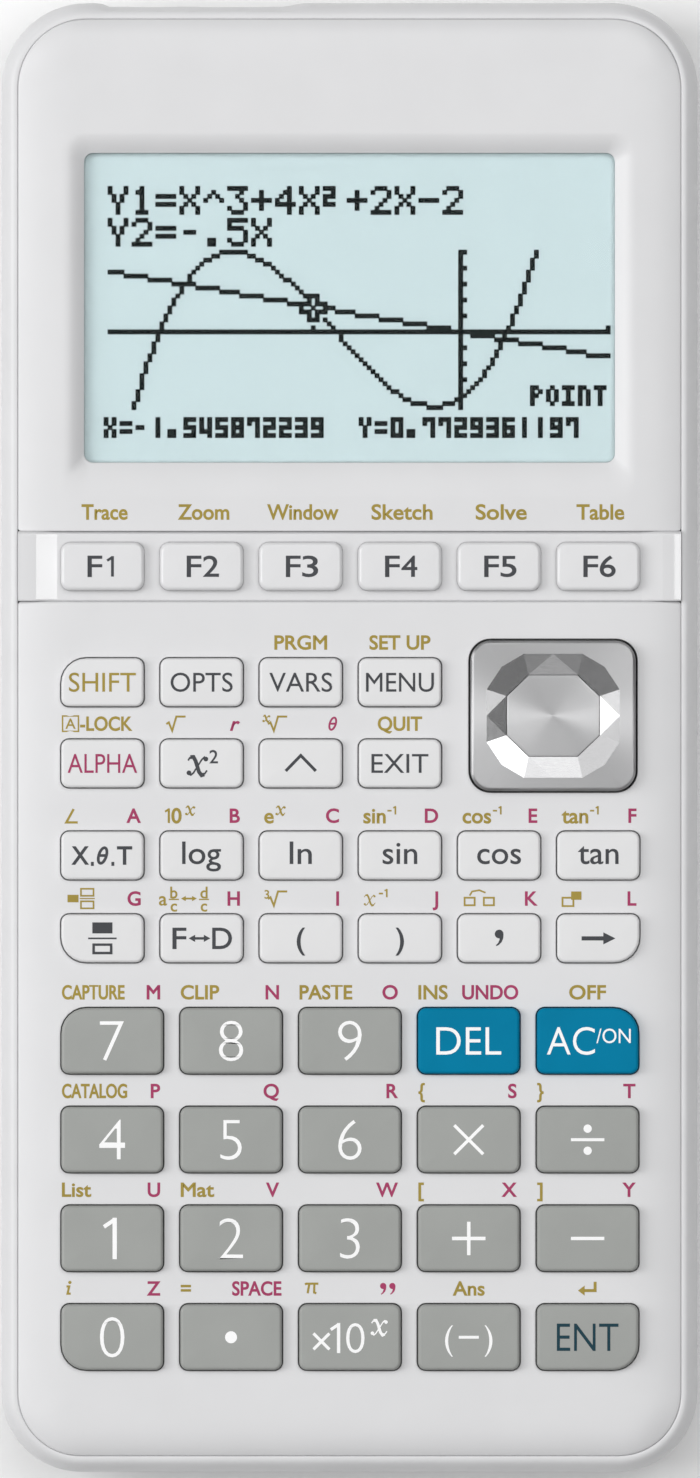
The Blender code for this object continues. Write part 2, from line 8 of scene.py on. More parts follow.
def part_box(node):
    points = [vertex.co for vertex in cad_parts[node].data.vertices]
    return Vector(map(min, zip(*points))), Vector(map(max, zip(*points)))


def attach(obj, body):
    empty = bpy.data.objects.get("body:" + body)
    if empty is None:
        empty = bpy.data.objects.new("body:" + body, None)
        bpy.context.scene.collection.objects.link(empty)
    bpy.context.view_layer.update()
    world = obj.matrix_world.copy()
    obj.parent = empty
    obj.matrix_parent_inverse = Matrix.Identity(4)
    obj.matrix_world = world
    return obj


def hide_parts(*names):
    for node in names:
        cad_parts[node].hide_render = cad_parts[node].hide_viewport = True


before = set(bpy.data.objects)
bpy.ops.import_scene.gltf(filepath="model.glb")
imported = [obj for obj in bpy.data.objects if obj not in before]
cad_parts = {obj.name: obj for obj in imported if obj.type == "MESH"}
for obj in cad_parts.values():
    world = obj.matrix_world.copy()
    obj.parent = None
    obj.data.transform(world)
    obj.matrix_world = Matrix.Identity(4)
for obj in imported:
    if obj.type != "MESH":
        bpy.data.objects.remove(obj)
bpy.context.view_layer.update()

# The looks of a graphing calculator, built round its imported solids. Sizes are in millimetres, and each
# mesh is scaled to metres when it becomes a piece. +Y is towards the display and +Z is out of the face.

MM = 0.001


def node_box(node):
    """The lowest and the highest corner of a CAD node, in millimetres."""
    low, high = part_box(node)
    return low / MM, high / MM


REAR_HIGH = node_box("rear_case")[1]
FRONT_HIGH = node_box("front_case")[1]
BAND_LOW, BAND_HIGH = node_box("function_key_panel")
LENS_LOW, LENS_HIGH = node_box("display_window")
LCD_HIGH = node_box("lcd_module")[1]
PAD_LOW, PAD_HIGH = node_box("cursor_pad")
COVER_LOW, COVER_HIGH = node_box("battery_cover")
BOARD_LOW, BOARD_HIGH = node_box("main_board")

# The body: its outline, and the heights of its widest line, its lip and its floor
HALF_X, HALF_Y = REAR_HIGH.x, REAR_HIGH.y
TOP_CORNER, BOTTOM_CORNER = 10.3, 9.6
LIP_TOP = REAR_HIGH.z
LIP_WIDTH = 2.05
LIP_ROUND = 0.18
LIP_SQUARE = 0.82
WIDEST = 9.5
FLOOR_OUT = COVER_LOW.z
FLOOR_IN = 2.1
FLOOR_INSET = 5.6
GAP = 0.3

# The face: a flat plate whose edges fall away towards the lip
FACE_TOP = FRONT_HIGH.z
FACE_UNDER = 15.8
FACE_INSET = LIP_WIDTH + 0.015
CROWN_SIDE, CROWN_END = 7.0, 7.6
CROWN_DROP = 1.1
CROWN_POWER_SIDE, CROWN_POWER_END = 2.0, 5.0
CROWN_ROWS = 4.2
FACE_EDGE_ROUND = 0.16
PLATE_CORNER = 0.4

# The display
WINDOW_HALF_X = LENS_HIGH.x + GAP
WINDOW_Y = (LENS_LOW.y - GAP, LENS_HIGH.y + GAP)
WINDOW_MIDDLE = (0.0, sum(WINDOW_Y) / 2)
WINDOW_HALF_Y = (WINDOW_Y[1] - WINDOW_Y[0]) / 2
WINDOW_CORNER = 1.2
RECESS_RUN = {"side": 2.45, "top": 2.35, "bottom": 4.2}
RECESS_CORNER = 2.6

# The band and its function keys
BAND_Y = (BAND_LOW.y, BAND_HIGH.y)
BAND_SLIT = 0.012
TROUGH_HALF_X = 34.95
TROUGH_TOP = 16.6
RAMP_RUN, RAMP_RISE = 2.5, 0.46
BAND_SHOULDER = 0.2
BAND_EDGE_SINK = 0.5

# Keys
FLANGE = 0.8
KEY_GAP = 0.13
FUNCTION_GAP = 0.03
PAD_GAP = 0.24
KEY_CORNER = 0.95
FUNCTION_CORNER = 1.2
WIDE_CORNER = 3.0
WIDE_CORNERS = {
    "key_shift": 1,
    "key_fraction": 2,
    "key_store": 3,
    "key_7": 1,
    "key_clear": 0,
    "key_0": 2,
    "key_enter": 3,
}

ALL_KEYS = sorted(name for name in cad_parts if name.startswith("key_"))
FUNCTION_KEYS = [f"key_f{number}" for number in range(1, 7)]
BLUE_KEYS = ["key_delete", "key_clear"]
NUMBER_KEYS = [name for name in ALL_KEYS if node_box(name)[1].y < -30.0]


# ---------------------------------------------------------------- materials


def new_material(name, colour, roughness, metallic=0.0):
    """A Principled material and its node tree, with its plain values set."""
    material = bpy.data.materials.new(name)
    material.use_nodes = True
    tree = material.node_tree
    shader = tree.nodes["Principled BSDF"]
    shader.inputs["Base Color"].default_value = (*colour, 1.0)
    shader.inputs["Roughness"].default_value = roughness
    shader.inputs["Metallic"].default_value = metallic
    return material, tree, shader


def add_noise(tree, size, detail=3.0, stretch=(1.0, 1.0, 1.0)):
    """Noise whose grains are about that many millimetres across."""
    coordinates = tree.nodes.new("ShaderNodeTexCoord")
    mapping = tree.nodes.new("ShaderNodeMapping")
    mapping.inputs["Scale"].default_value = [1.0 / (size * MM * part) for part in stretch]
    noise = tree.nodes.new("ShaderNodeTexNoise")
    noise.inputs["Scale"].default_value = 1.0
    noise.inputs["Detail"].default_value = detail
    tree.links.new(coordinates.outputs["Object"], mapping.inputs["Vector"])
    tree.links.new(mapping.outputs["Vector"], noise.inputs["Vector"])
    return noise.outputs["Fac"]


def add_range(tree, value, low, high):
    """The value from 0.3 to 0.7, where noise mostly lies, spread from low to high."""
    spread = tree.nodes.new("ShaderNodeMapRange")
    spread.inputs["From Min"].default_value = 0.3
    spread.inputs["From Max"].default_value = 0.7
    spread.inputs["To Min"].default_value = low
    spread.inputs["To Max"].default_value = high
    tree.links.new(value, spread.inputs["Value"])
    return spread.outputs["Result"]


def add_bump(tree, shader, height, depth):
    """Bumps of that depth in millimetres on the shader's normal."""
    bump = tree.nodes.new("ShaderNodeBump")
    bump.inputs["Distance"].default_value = depth * MM
    bump.inputs["Strength"].default_value = 1.0
    tree.links.new(height, bump.inputs["Height"])
    tree.links.new(bump.outputs["Normal"], shader.inputs["Normal"])


def moulded(name, colour, roughness, grain=0.16, depth=0.004, mottle=0.02, coat=0.0, shine=0.5):
    """Moulded plastic: a fine grain, and slight changes of tone and of polish over the surface."""
    material, tree, shader = new_material(name, colour, roughness)
    tone = add_range(tree, add_noise(tree, 7.0), 1.0 - mottle, 1.0 + mottle)
    tint = tree.nodes.new("ShaderNodeVectorMath")
    tint.operation = "SCALE"
    tint.inputs[0].default_value = colour
    tree.links.new(tone, tint.inputs["Scale"])
    tree.links.new(tint.outputs["Vector"], shader.inputs["Base Color"])
    fine = add_noise(tree, grain)
    tree.links.new(add_range(tree, fine, roughness - 0.04, roughness + 0.05), shader.inputs["Roughness"])
    add_bump(tree, shader, fine, depth)
    shader.inputs["Specular IOR Level"].default_value = shine
    shader.inputs["Coat Weight"].default_value = coat
    shader.inputs["Coat Roughness"].default_value = 0.06
    return material


def brushed(name, colour, roughness, stretch, depth=0.0015):
    """Satin metal with fine lines along the axis that has the largest stretch."""
    material, tree, shader = new_material(name, colour, roughness, 1.0)
    lines = add_noise(tree, 0.05, 2.0, stretch)
    tree.links.new(add_range(tree, lines, roughness - 0.05, roughness + 0.07), shader.inputs["Roughness"])
    add_bump(tree, shader, lines, depth)
    return material


def spun(name, colour, roughness):
    """Metal turned on a lathe: its highlights fan out from the middle."""
    material, tree, shader = new_material(name, colour, roughness, 1.0)
    shader.inputs["Anisotropic"].default_value = 0.85
    shader.inputs["Anisotropic Rotation"].default_value = 0.25
    tangent = tree.nodes.new("ShaderNodeTangent")
    tangent.direction_type = "RADIAL"
    tangent.axis = "Z"
    tree.links.new(tangent.outputs["Tangent"], shader.inputs["Tangent"])
    fine = add_noise(tree, 0.06)
    tree.links.new(add_range(tree, fine, roughness - 0.04, roughness + 0.06), shader.inputs["Roughness"])
    return material


def ink(name, colour, mottle, shine=0.15):
    """Printing ink, dull and nearly even."""
    return moulded(name, colour, 0.5, grain=0.1, depth=0.001, mottle=mottle, shine=shine)


def clear_lens(name):
    """A thin clear plate that lets the lamps through to what is under it."""
    material, tree, shader = new_material(name, (0.97, 0.99, 0.99), 0.02)
    shader.inputs["Transmission Weight"].default_value = 1.0
    shader.inputs["IOR"].default_value = 1.15
    path = tree.nodes.new("ShaderNodeLightPath")
    open_way = tree.nodes.new("ShaderNodeBsdfTransparent")
    mix = tree.nodes.new("ShaderNodeMixShader")
    output = tree.nodes["Material Output"]
    tree.links.new(path.outputs["Is Shadow Ray"], mix.inputs["Fac"])
    tree.links.new(shader.outputs["BSDF"], mix.inputs[1])
    tree.links.new(open_way.outputs["BSDF"], mix.inputs[2])
    tree.links.new(mix.outputs["Shader"], output.inputs["Surface"])
    return material


SHELL = moulded("shell_paint", (0.70, 0.70, 0.71), 0.36, grain=0.12, depth=0.003, mottle=0.012)
REAR_SHELL = moulded("rear_shell_plastic", (0.70, 0.70, 0.71), 0.40, grain=0.25, depth=0.008)
BAND = moulded("band_gloss", (0.63, 0.63, 0.64), 0.16, grain=0.4, depth=0.0004, mottle=0.008, coat=1.0)
FUNCTION_KEY = moulded("function_key_gloss", (0.72, 0.72, 0.73), 0.22, grain=0.3, depth=0.0006, mottle=0.01)
LIGHT_KEY = moulded("light_key_satin", (0.735, 0.735, 0.74), 0.34, grain=0.14, depth=0.002, mottle=0.012)
GREY_KEY = moulded(
    "grey_key_matte", (0.335, 0.345, 0.33), 0.42, grain=0.18, depth=0.005, mottle=0.03, shine=0.35
)
BLUE_KEY = moulded(
    "blue_key_matte", (0.001, 0.20, 0.36), 0.45, grain=0.18, depth=0.005, mottle=0.04, shine=0.03
)
SILICONE = moulded("silicone", (0.50, 0.51, 0.50), 0.70, grain=0.3, depth=0.006)
RUBBER = moulded("foot_rubber", (0.055, 0.056, 0.058), 0.75, grain=0.2, depth=0.02, mottle=0.15)
BOARD = moulded("board_mask", (0.02, 0.17, 0.07), 0.35, grain=0.6, depth=0.006, mottle=0.12)
CHIP = moulded("chip_epoxy", (0.02, 0.02, 0.022), 0.5, grain=0.15, depth=0.008, mottle=0.1)
BLACK = moulded("socket_black", (0.018, 0.018, 0.02), 0.45, grain=0.2, depth=0.004, mottle=0.1)
LCD = moulded("lcd_reflector", (0.327, 0.40, 0.414), 0.45, grain=0.09, depth=0.0008, mottle=0.008)
LCD_DOT = moulded("lcd_dot", (0.004, 0.006, 0.006), 0.5, grain=0.2, depth=0.0004, mottle=0.15, shine=0.0)
PAD_METAL = spun("pad_satin_metal", (0.385, 0.385, 0.39), 0.42)
FACET_METAL = brushed("facet_metal", (0.42, 0.42, 0.425), 0.2, (20.0, 1.0, 1.0), depth=0.0002)
SPUN_METAL = spun("spun_metal", (0.37, 0.37, 0.375), 0.38)
NICKEL = brushed("nickel", (0.62, 0.60, 0.56), 0.28, (1.0, 12.0, 1.0))
SCREW_STEEL = brushed("screw_steel", (0.30, 0.30, 0.31), 0.32, (1.0, 1.0, 1.0))
CELL_JACKET = moulded("cell_jacket", (0.045, 0.05, 0.06), 0.28, grain=0.8, depth=0.004, mottle=0.1)
CELL_BAND = moulded("cell_band", (0.55, 0.30, 0.10), 0.25, grain=0.8, depth=0.004, mottle=0.05)
DARK_INK = ink("ink_dark", (0.06, 0.063, 0.07), 0.08)
OCHRE_INK = ink("ink_ochre", (0.35, 0.262, 0.052), 0.06)
PINK_INK = ink("ink_pink", (0.37, 0.045, 0.125), 0.06)
WHITE_INK = ink("ink_white", (0.96, 0.96, 0.96), 0.02, shine=0.5)
NAVY_INK = ink("ink_navy", (0.008, 0.045, 0.065), 0.05)
LENS = clear_lens("lens_clear")


# ---------------------------------------------------------------- mesh tools

SHARP_ANGLE = 32.0


def make_piece(name, bm, material, body="body", replaces=(), sharp=SHARP_ANGLE, flat=False):
    """Turns a bmesh in millimetres into a piece that rides on a body."""
    bmesh.ops.remove_doubles(bm, verts=bm.verts, dist=1e-5)
    bmesh.ops.recalc_face_normals(bm, faces=bm.faces)
    mesh = bpy.data.meshes.new(name)
    bm.to_mesh(mesh)
    bm.free()
    mesh.transform(Matrix.Scale(MM, 4))
    obj = bpy.data.objects.new(name, mesh)
    bpy.context.scene.collection.objects.link(obj)
    mesh.materials.append(material)
    if not flat:
        mesh.shade_smooth()
        mesh.set_sharp_from_angle(angle=math.radians(sharp))
        normals = obj.modifiers.new("weighted_normals", "WEIGHTED_NORMAL")
        normals.keep_sharp = True
        normals.weight = 60
    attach(obj, body)
    if replaces:
        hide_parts(*replaces)
    return obj


def rounded(half_x, half_y, corners, middle=(0.0, 0.0), steps=8):
    """A round-cornered rectangle, anticlockwise. Its corners come in the order +x+y, -x+y, -x-y, +x-y."""
    if isinstance(corners, (int, float)):
        corners = [corners] * 4
    points = []
    for quarter, radius in enumerate(corners):
        side_x = 1 if quarter in (0, 3) else -1
        side_y = 1 if quarter in (0, 1) else -1
        centre_x = middle[0] + side_x * (half_x - radius)
        centre_y = middle[1] + side_y * (half_y - radius)
        for step in range(steps + 1):
            angle = math.pi / 2 * (quarter + step / steps)
            points.append((centre_x + radius * math.cos(angle), centre_y + radius * math.sin(angle)))
    return points


def at_height(outline, z):
    return [(x, y, z) for x, y in outline]


def add_ring(bm, points):
    return [bm.verts.new(point) for point in points]


def bridge(bm, lower, upper, closed=True):
    """Quads between two rows of vertices of equal length."""
    count = len(lower)
    for i in range(count if closed else count - 1):
        k = (i + 1) % count
        bm.faces.new((lower[i], lower[k], upper[k], upper[i]))


def loft(rings):
    """A solid through rings of equal length, each a list of points."""
    bm = bmesh.new()
    add_loft(bm, rings)
    return bm


def add_loft(bm, rings, capped=True):
    rows = [add_ring(bm, ring) for ring in rings]
    for lower, upper in zip(rows, rows[1:]):
        bridge(bm, lower, upper)
    if capped:
        bm.faces.new(rows[0])
        bm.faces.new(rows[-1])
    return rows


def fill_between(bm, loops):
    """Fills the flat area inside the first loop and outside the others."""
    edges = []
    for loop in loops:
        for first, second in zip(loop, loop[1:] + loop[:1]):
            edge = bm.edges.get((first, second)) or bm.edges.new((first, second))
            edges.append(edge)
    bmesh.ops.triangle_fill(bm, edges=edges, use_beauty=True, use_dissolve=False)


def round_steps(radius, steps=4):
    """(outwards, down) along a quarter circle, from the flat to the upright."""
    for step in range(steps + 1):
        angle = math.pi / 2 * step / steps
        yield radius * math.sin(angle), radius * (1 - math.cos(angle))


def add_box(bm, low, high):
    """A box between two corners, added to the mesh."""
    middle = [(a + b) / 2 for a, b in zip(low, high)]
    sides = [b - a for a, b in zip(low, high)]
    matrix = Matrix.LocRotScale(Vector(middle), None, Vector(sides))
    bmesh.ops.create_cube(bm, size=1.0, matrix=matrix)


def soft_box(low, high, radius, corner):
    """An upright block between two corners, with all of its edges rounded."""
    half_x, half_y = (high[0] - low[0]) / 2, (high[1] - low[1]) / 2
    middle = ((high[0] + low[0]) / 2, (high[1] + low[1]) / 2)

    def ring(out, z):
        inset = radius - out
        outline = rounded(half_x - inset, half_y - inset, max(corner - inset, 0.01), middle, 5)
        return at_height(outline, z)

    edge = list(round_steps(radius, 3))
    rings = [ring(out, low[2] + drop) for out, drop in edge]
    rings += [ring(out, high[2] - drop) for out, drop in reversed(edge)]
    return loft(rings)


def turned(profile, sides=32, middle=(0.0, 0.0, 0.0), axis="Z"):
    """A solid turned from (radius, distance along the axis) pairs, closed by flat ends."""
    rings = []
    for radius, along in profile:
        ring = []
        for side in range(sides):
            angle = 2 * math.pi * side / sides
            a, b = radius * math.cos(angle), radius * math.sin(angle)
            ring.append((a, b, along) if axis == "Z" else (a, along, b))
        rings.append([tuple(m + c for m, c in zip(middle, point)) for point in ring])
    return loft(rings)


def bend_boolean(obj, operation, cutters):
    """Joins or cuts the shapes, each a bmesh in millimetres, and applies the result to the mesh."""
    group = bpy.data.collections.new("tools")
    made = []
    for shape in cutters:
        bmesh.ops.recalc_face_normals(shape, faces=shape.faces)
        mesh = bpy.data.meshes.new("tool")
        shape.to_mesh(mesh)
        shape.free()
        mesh.transform(Matrix.Scale(MM, 4))
        tool = bpy.data.objects.new("tool", mesh)
        group.objects.link(tool)
        made.append(tool)
    bpy.context.scene.collection.children.link(group)
    modifier = obj.modifiers.new("tool", "BOOLEAN")
    modifier.operation = operation
    modifier.operand_type = "COLLECTION"
    modifier.collection = group
    modifier.solver = "EXACT"
    while obj.modifiers.find(modifier.name) > 0:
        obj.modifiers.move(obj.modifiers.find(modifier.name), 0)
    hidden = [m for m in obj.modifiers if m != modifier]
    for other in hidden:
        other.show_viewport = False
    bpy.context.view_layer.update()
    result = bpy.data.meshes.new_from_object(obj.evaluated_get(bpy.context.evaluated_depsgraph_get()))
    obj.modifiers.remove(modifier)
    obj.data = result
    for other in hidden:
        other.show_viewport = True
    obj.data.shade_smooth()
    obj.data.set_sharp_from_angle(angle=math.radians(SHARP_ANGLE))
    for tool in made:
        bpy.data.objects.remove(tool)
    bpy.data.collections.remove(group)


# ---------------------------------------------------------------- the rear case

SOCKET_DIP_X = (-28.7, -8.3)
SOCKET_DIP = 0.42
USB_X, USB_Z = -14.0, 10.0
USB_HALF = (3.85, 1.95)
JACK_X, JACK_Z = -23.5, 9.4
JACK_RADIUS = 2.7
SCREW_PLACES = [(side * x, y) for x, y in ((33.0, 79.0), (35.2, -29.6), (33.0, -79.0)) for side in (1, -1)]
FOOT_PLACES = [(31.5, 70.0), (-31.5, 70.0), (31.5, -69.0), (-31.5, -69.0)]
FOOT_RADIUS = 3.5
RESET_PLACE = (18.0, 10.0)
BAY_HALF_X = 23.0
BAY_Y = (25.8, 75.0)
BAY_TOP = 12.6


def smooth_step(low, high, value):
    share = min(max((value - low) / (high - low), 0.0), 1.0)
    return share * share * (3 - 2 * share)


def socket_dip(x, z):
    """How far the top edge is set back at the sockets. It fades out towards the lip."""
    low, high = SOCKET_DIP_X
    along = smooth_step(low - 1.3, low, x) * (1 - smooth_step(high, high + 3.2, x))
    return SOCKET_DIP * along * (1 - smooth_step(LIP_TOP - 1.2, LIP_TOP - 0.1, z))


def body_ring(inset, z):
    """The body's outline at a height, moved in by inset, with a long straight top edge in short steps."""
    corners = [max(radius - inset, 1.2) for radius in (TOP_CORNER, TOP_CORNER, BOTTOM_CORNER, BOTTOM_CORNER)]
    outline = rounded(HALF_X - inset, HALF_Y - inset, corners, steps=16)
    split = len(outline) // 4
    start, end = outline[split - 1], outline[split]
    steps = 70
    between = [(start[0] + (end[0] - start[0]) * i / steps, start[1]) for i in range(1, steps)]
    points = outline[:split] + between + outline[split:]
    return [(x, y - socket_dip(x, z) if y > HALF_Y - inset - 0.5 else y, z) for x, y in points]


def rear_profile():
    """(inset, height) from the floor's edge, round the outside, over the lip and down the inside."""
    profile = [(FLOOR_INSET + 1.2, FLOOR_OUT)]
    for step in range(13, -1, -1):
        angle = math.pi / 2 * step / 13
        height = WIDEST - (WIDEST - FLOOR_OUT) * math.sin(angle)
        profile.append((FLOOR_INSET * (1 - math.cos(angle)), height))
    lip_run, lip_rise = LIP_WIDTH - LIP_ROUND, LIP_TOP - WIDEST
    for step in range(1, 19):
        angle = math.pi / 2 * step / 18
        run, rise = 1 - math.cos(angle) ** LIP_SQUARE, math.sin(angle) ** LIP_SQUARE
        profile.append((lip_run * run, WIDEST + lip_rise * rise))
    for out, drop in list(round_steps(LIP_ROUND, 4))[1:]:
        profile.append((lip_run + out, LIP_TOP - drop))
    profile += [(LIP_WIDTH, 6.5), (2.7, 4.2), (3.8, 2.8), (FLOOR_INSET, FLOOR_IN)]
    return profile


def post(radius, low, high, at, sides=24):
    """An upright round post between two heights."""
    return turned([(radius, low), (radius, high)], sides, (*at, 0.0))


def flared(half_x, half_y, corner, middle, low, high, flare):
    """A cutter for an opening in the floor: upright, with a mouth that flares a little at the bottom."""
    mouth = [(flare + 0.5, low - 0.5), (flare, low), (flare * 0.3, low + flare * 0.35), (0.0, low + flare)]
    rings = []
    for extra, z in mouth + [(0.0, high)]:
        outline = rounded(half_x + extra, half_y + extra, corner + extra, middle, 4)
        rings.append(at_height(outline, z))
    return loft(rings)


def block(low, high):
    bm = bmesh.new()
    add_box(bm, low, high)
    return bm


def rear_joins():
    """What stands inside the tub: the walls round the battery bay and its cover, and the screw bosses."""
    wall, bay_end = 3.2, BAY_Y[1] + 1.0
    low = (-BAY_HALF_X - wall, BAY_Y[0] - 1.9, 1.0)
    bay = block(low, (BAY_HALF_X + wall, bay_end, BAY_TOP + 0.6))
    recess = block(low, (BAY_HALF_X + wall, COVER_HIGH.y - 0.4, 3.3))
    return [bay, recess] + [post(2.2, 1.5, 10.7, at) for at in SCREW_PLACES]


def rear_cuts():
    """What is cut out of the tub: the bay, the cover's recess, the holes, the wells and the cells' room."""
    cover_middle = (0.0, (COVER_LOW.y + COVER_HINGE_Y) / 2)
    cover_half_y = (COVER_HINGE_Y - COVER_LOW.y) / 2
    cuts = [
        block((-BAY_HALF_X, BAY_Y[0], -1.0), (BAY_HALF_X, BAY_Y[1], BAY_TOP)),
        flared(COVER_HIGH.x + GAP, cover_half_y + GAP, 1.1, cover_middle, FLOOR_OUT, COVER_TOP + GAP, 0.15),
        flared(0.7, 0.7, 0.65, RESET_PLACE, FLOOR_OUT, 3.2, 0.3),
    ]
    cuts += [flared(1.5, 1.5, 1.45, at, FLOOR_OUT, 6.2, 0.35) for at in SCREW_PLACES]
    cuts += [post(FOOT_RADIUS + 0.05, -1.0, 0.9, at, 40) for at in FOOT_PLACES]
    for x in (TAB_X, -TAB_X):
        cuts.append(block((x - 4.3, 75.6, COVER_TOP + 0.25), (x + 4.3, 81.0, 3.8)))
    for side in (-1.5, -0.5, 0.5, 1.5):
        x = side * CELL_PITCH
        cuts.append(block((x - 5.1, BAY_Y[0] + 3.0, 11.0), (x + 5.1, 72.0, 12.8)))
    return cuts


def make_rear_shell():
    """The tub with everything that is moulded into it."""
    rings = [body_ring(inset, z) for inset, z in rear_profile()]
    shell = make_piece("rear_shell", loft(rings), REAR_SHELL, "body", ["rear_case"])
    bend_boolean(shell, "UNION", rear_joins())
    bend_boolean(shell, "DIFFERENCE", rear_cuts())
    bend_boolean(shell, "DIFFERENCE", socket_cutters())


def socket_cutters():
    """The USB socket's rounded slot and the jack's round hole, both with a slightly flared mouth."""
    edge = HALF_Y - SOCKET_DIP
    usb = []
    jack = []
    for extra, y in ((0.75, edge + 0.9), (0.6, edge - 0.05), (0.35, edge - 0.35), (0.3, edge - 4.0)):
        outline = rounded(USB_HALF[0] + extra, USB_HALF[1] + extra, 0.9 + extra, (USB_X, USB_Z), 5)
        usb.append([(x, y, z) for x, z in outline])
        jack.append((JACK_RADIUS + extra + 0.1, y))
    return [loft(usb), turned(jack, 40, (JACK_X, 0.0, JACK_Z), "Y")]


def make_feet():
    """A soft pad in each foot well, with a rounded rim."""
    edge = [(FOOT_RADIUS - 0.3 + out, drop) for out, drop in round_steps(0.3)]
    profile = edge + [(FOOT_RADIUS, 0.3), (FOOT_RADIUS, 0.88)]
    for number, (x, y) in enumerate(FOOT_PLACES, 1):
        foot = turned(profile, 40, (x, y, 0.0))
        make_piece(f"foot_pad_{number}", foot, RUBBER, "body")


def make_screws():
    """Pan-head screws at the ends of their wells, each with a cross cut in its head."""
    for number, (x, y) in enumerate(SCREW_PLACES, 1):
        profile = [(0.05, 4.3), (0.55, 4.33), (0.95, 4.45), (1.22, 4.7), (1.3, 5.0), (1.3, 6.15)]
        screw = make_piece(
            f"screw_{number}", turned(profile, 28, (x, y, 0.0)), SCREW_STEEL, "body"
        )
        arms = [block((x - a, y - b, 3.5), (x + a, y + b, 5.2)) for a, b in ((0.85, 0.16), (0.16, 0.85))]
        bend_boolean(screw, "DIFFERENCE", arms)


# ---------------------------------------------------------------- the battery bay

TAB_X = 14.0
COVER_TOP = 1.7
COVER_HINGE_Y = COVER_HIGH.y - 1.7
SCOOP_Y = COVER_LOW.y + 4.6
CELL_PITCH = 11.2


def make_battery_cover():
    """The cover: a plate with rounded edges, a thumb scoop with grip ridges, and two hooks."""
    low = (-COVER_HIGH.x, COVER_LOW.y, FLOOR_OUT)
    high = (COVER_HIGH.x, COVER_HINGE_Y, COVER_TOP)
    plate = soft_box(low, high, 0.22, 0.9)
    cover = make_piece("battery_door", plate, REAR_SHELL, "battery_cover", ["battery_cover"])
    hooks = []
    for x in (TAB_X, -TAB_X):
        hooks.append(block((x - 4, COVER_HINGE_Y - 1.1, 1.2), (x + 4, COVER_HINGE_Y - 0.2, COVER_HIGH.z)))
        hooks.append(block((x - 4, COVER_HINGE_Y - 0.5, 2.4), (x + 4, COVER_HIGH.y, COVER_HIGH.z)))
    bend_boolean(cover, "UNION", hooks)
    bend_boolean(cover, "DIFFERENCE", [scoop_cutter()])
    make_door_ridges()
    make_door_arrow()


def scoop_cutter():
    """A shallow dome that leaves the thumb scoop in the cover."""
    rings = []
    for step in range(7):
        lean = math.pi / 2 * step / 6
        size = math.cos(lean)
        outline = rounded(8.2 * size + 0.3, 3.0 * size + 0.3, 3.0 * size + 0.28, (0.0, SCOOP_Y), 8)
        rings.append(at_height(outline, FLOOR_OUT - 0.4 + 0.75 * math.sin(lean) * 1.25))
    return loft(rings)


def make_door_ridges():
    """Four grip ridges across the thumb scoop, the middle two the longest."""
    for number in range(4):
        y = SCOOP_Y - 1.8 + 1.2 * number
        reach = 6.4 - 0.9 * abs(number - 1.5)
        low, high = (-reach, y - 0.22, FLOOR_OUT + 0.12), (reach, y + 0.22, FLOOR_OUT + 0.75)
        ridge = soft_box(low, high, 0.12, 0.2)
        make_piece(f"door_ridge_{number + 1}", ridge, REAR_SHELL, "battery_cover")


def make_door_arrow():
    """A raised triangle that shows which way the cover opens."""
    arrow = bmesh.new()
    tip, wing = COVER_LOW.y + 14.5, COVER_LOW.y + 11.0
    heights = (FLOOR_OUT - 0.12, FLOOR_OUT + 0.3)
    rows = [add_ring(arrow, [(-2.6, wing, z), (2.6, wing, z), (0.0, tip, z)]) for z in heights]
    bridge(arrow, *rows)
    arrow.faces.new(rows[0])
    arrow.faces.new(rows[1])
    make_piece("door_arrow", arrow, REAR_SHELL, "battery_cover", flat=True)


def make_cells():
    """Four AAA cells, each a bright can in a dark jacket with a coloured band at its positive end."""
    for number in range(1, 5):
        low, high = node_box(f"battery_{number}")
        middle = (low + high) / 2
        half = (high.y - low.y) / 2
        way = -1 if number % 2 else 1
        place = tuple(middle)
        can = [(0.02, -half), (4.3, -half), (4.75, -half + 0.12), (4.98, -half + 0.5)]
        can += [(4.98, half - 1.7), (4.7, half - 1.35), (2.3, half - 1.05), (1.9, half - 0.9)]
        can += [(1.85, half - 0.15), (1.6, half), (0.02, half)]
        jacket = [(4.99, -half + 0.7), (5.14, -half + 0.85), (5.14, half - 13.0), (4.99, half - 13.0)]
        band = [(4.99, half - 12.98), (5.14, half - 12.98), (5.14, half - 2.0), (4.99, half - 1.85)]
        parts = [("can", can, NICKEL), ("jacket", jacket, CELL_JACKET), ("band", band, CELL_BAND)]
        for part, profile, look in parts:
            shape = turned([(radius, along * way) for radius, along in profile], 48, place, "Y")
            stands_for = [f"battery_{number}"] if part == "can" else []
            make_piece(f"cell_{part}_{number}", shape, look, "body", stands_for)


def make_contacts():
    """A coil spring at each cell's flat end and a plate at its other end."""
    for number in range(1, 5):
        low, high = node_box(f"battery_{number}")
        x, z = (low.x + high.x) / 2, (low.z + high.z) / 2
        if number % 2:
            make_spring(number, x, z, BAY_Y[1], high.y)
            near = (BAY_Y[0] + 0.05, BAY_Y[0] + 0.4)
        else:
            make_spring(number, x, z, BAY_Y[0], low.y)
            near = (BAY_Y[1] - 0.4, BAY_Y[1] - 0.05)
        plate = soft_box((x - 3.6, near[0], z - 3.6), (x + 3.6, near[1], z + 3.6), 0.12, 0.15)
        make_piece(f"contact_plate_{number}", plate, NICKEL, "body")


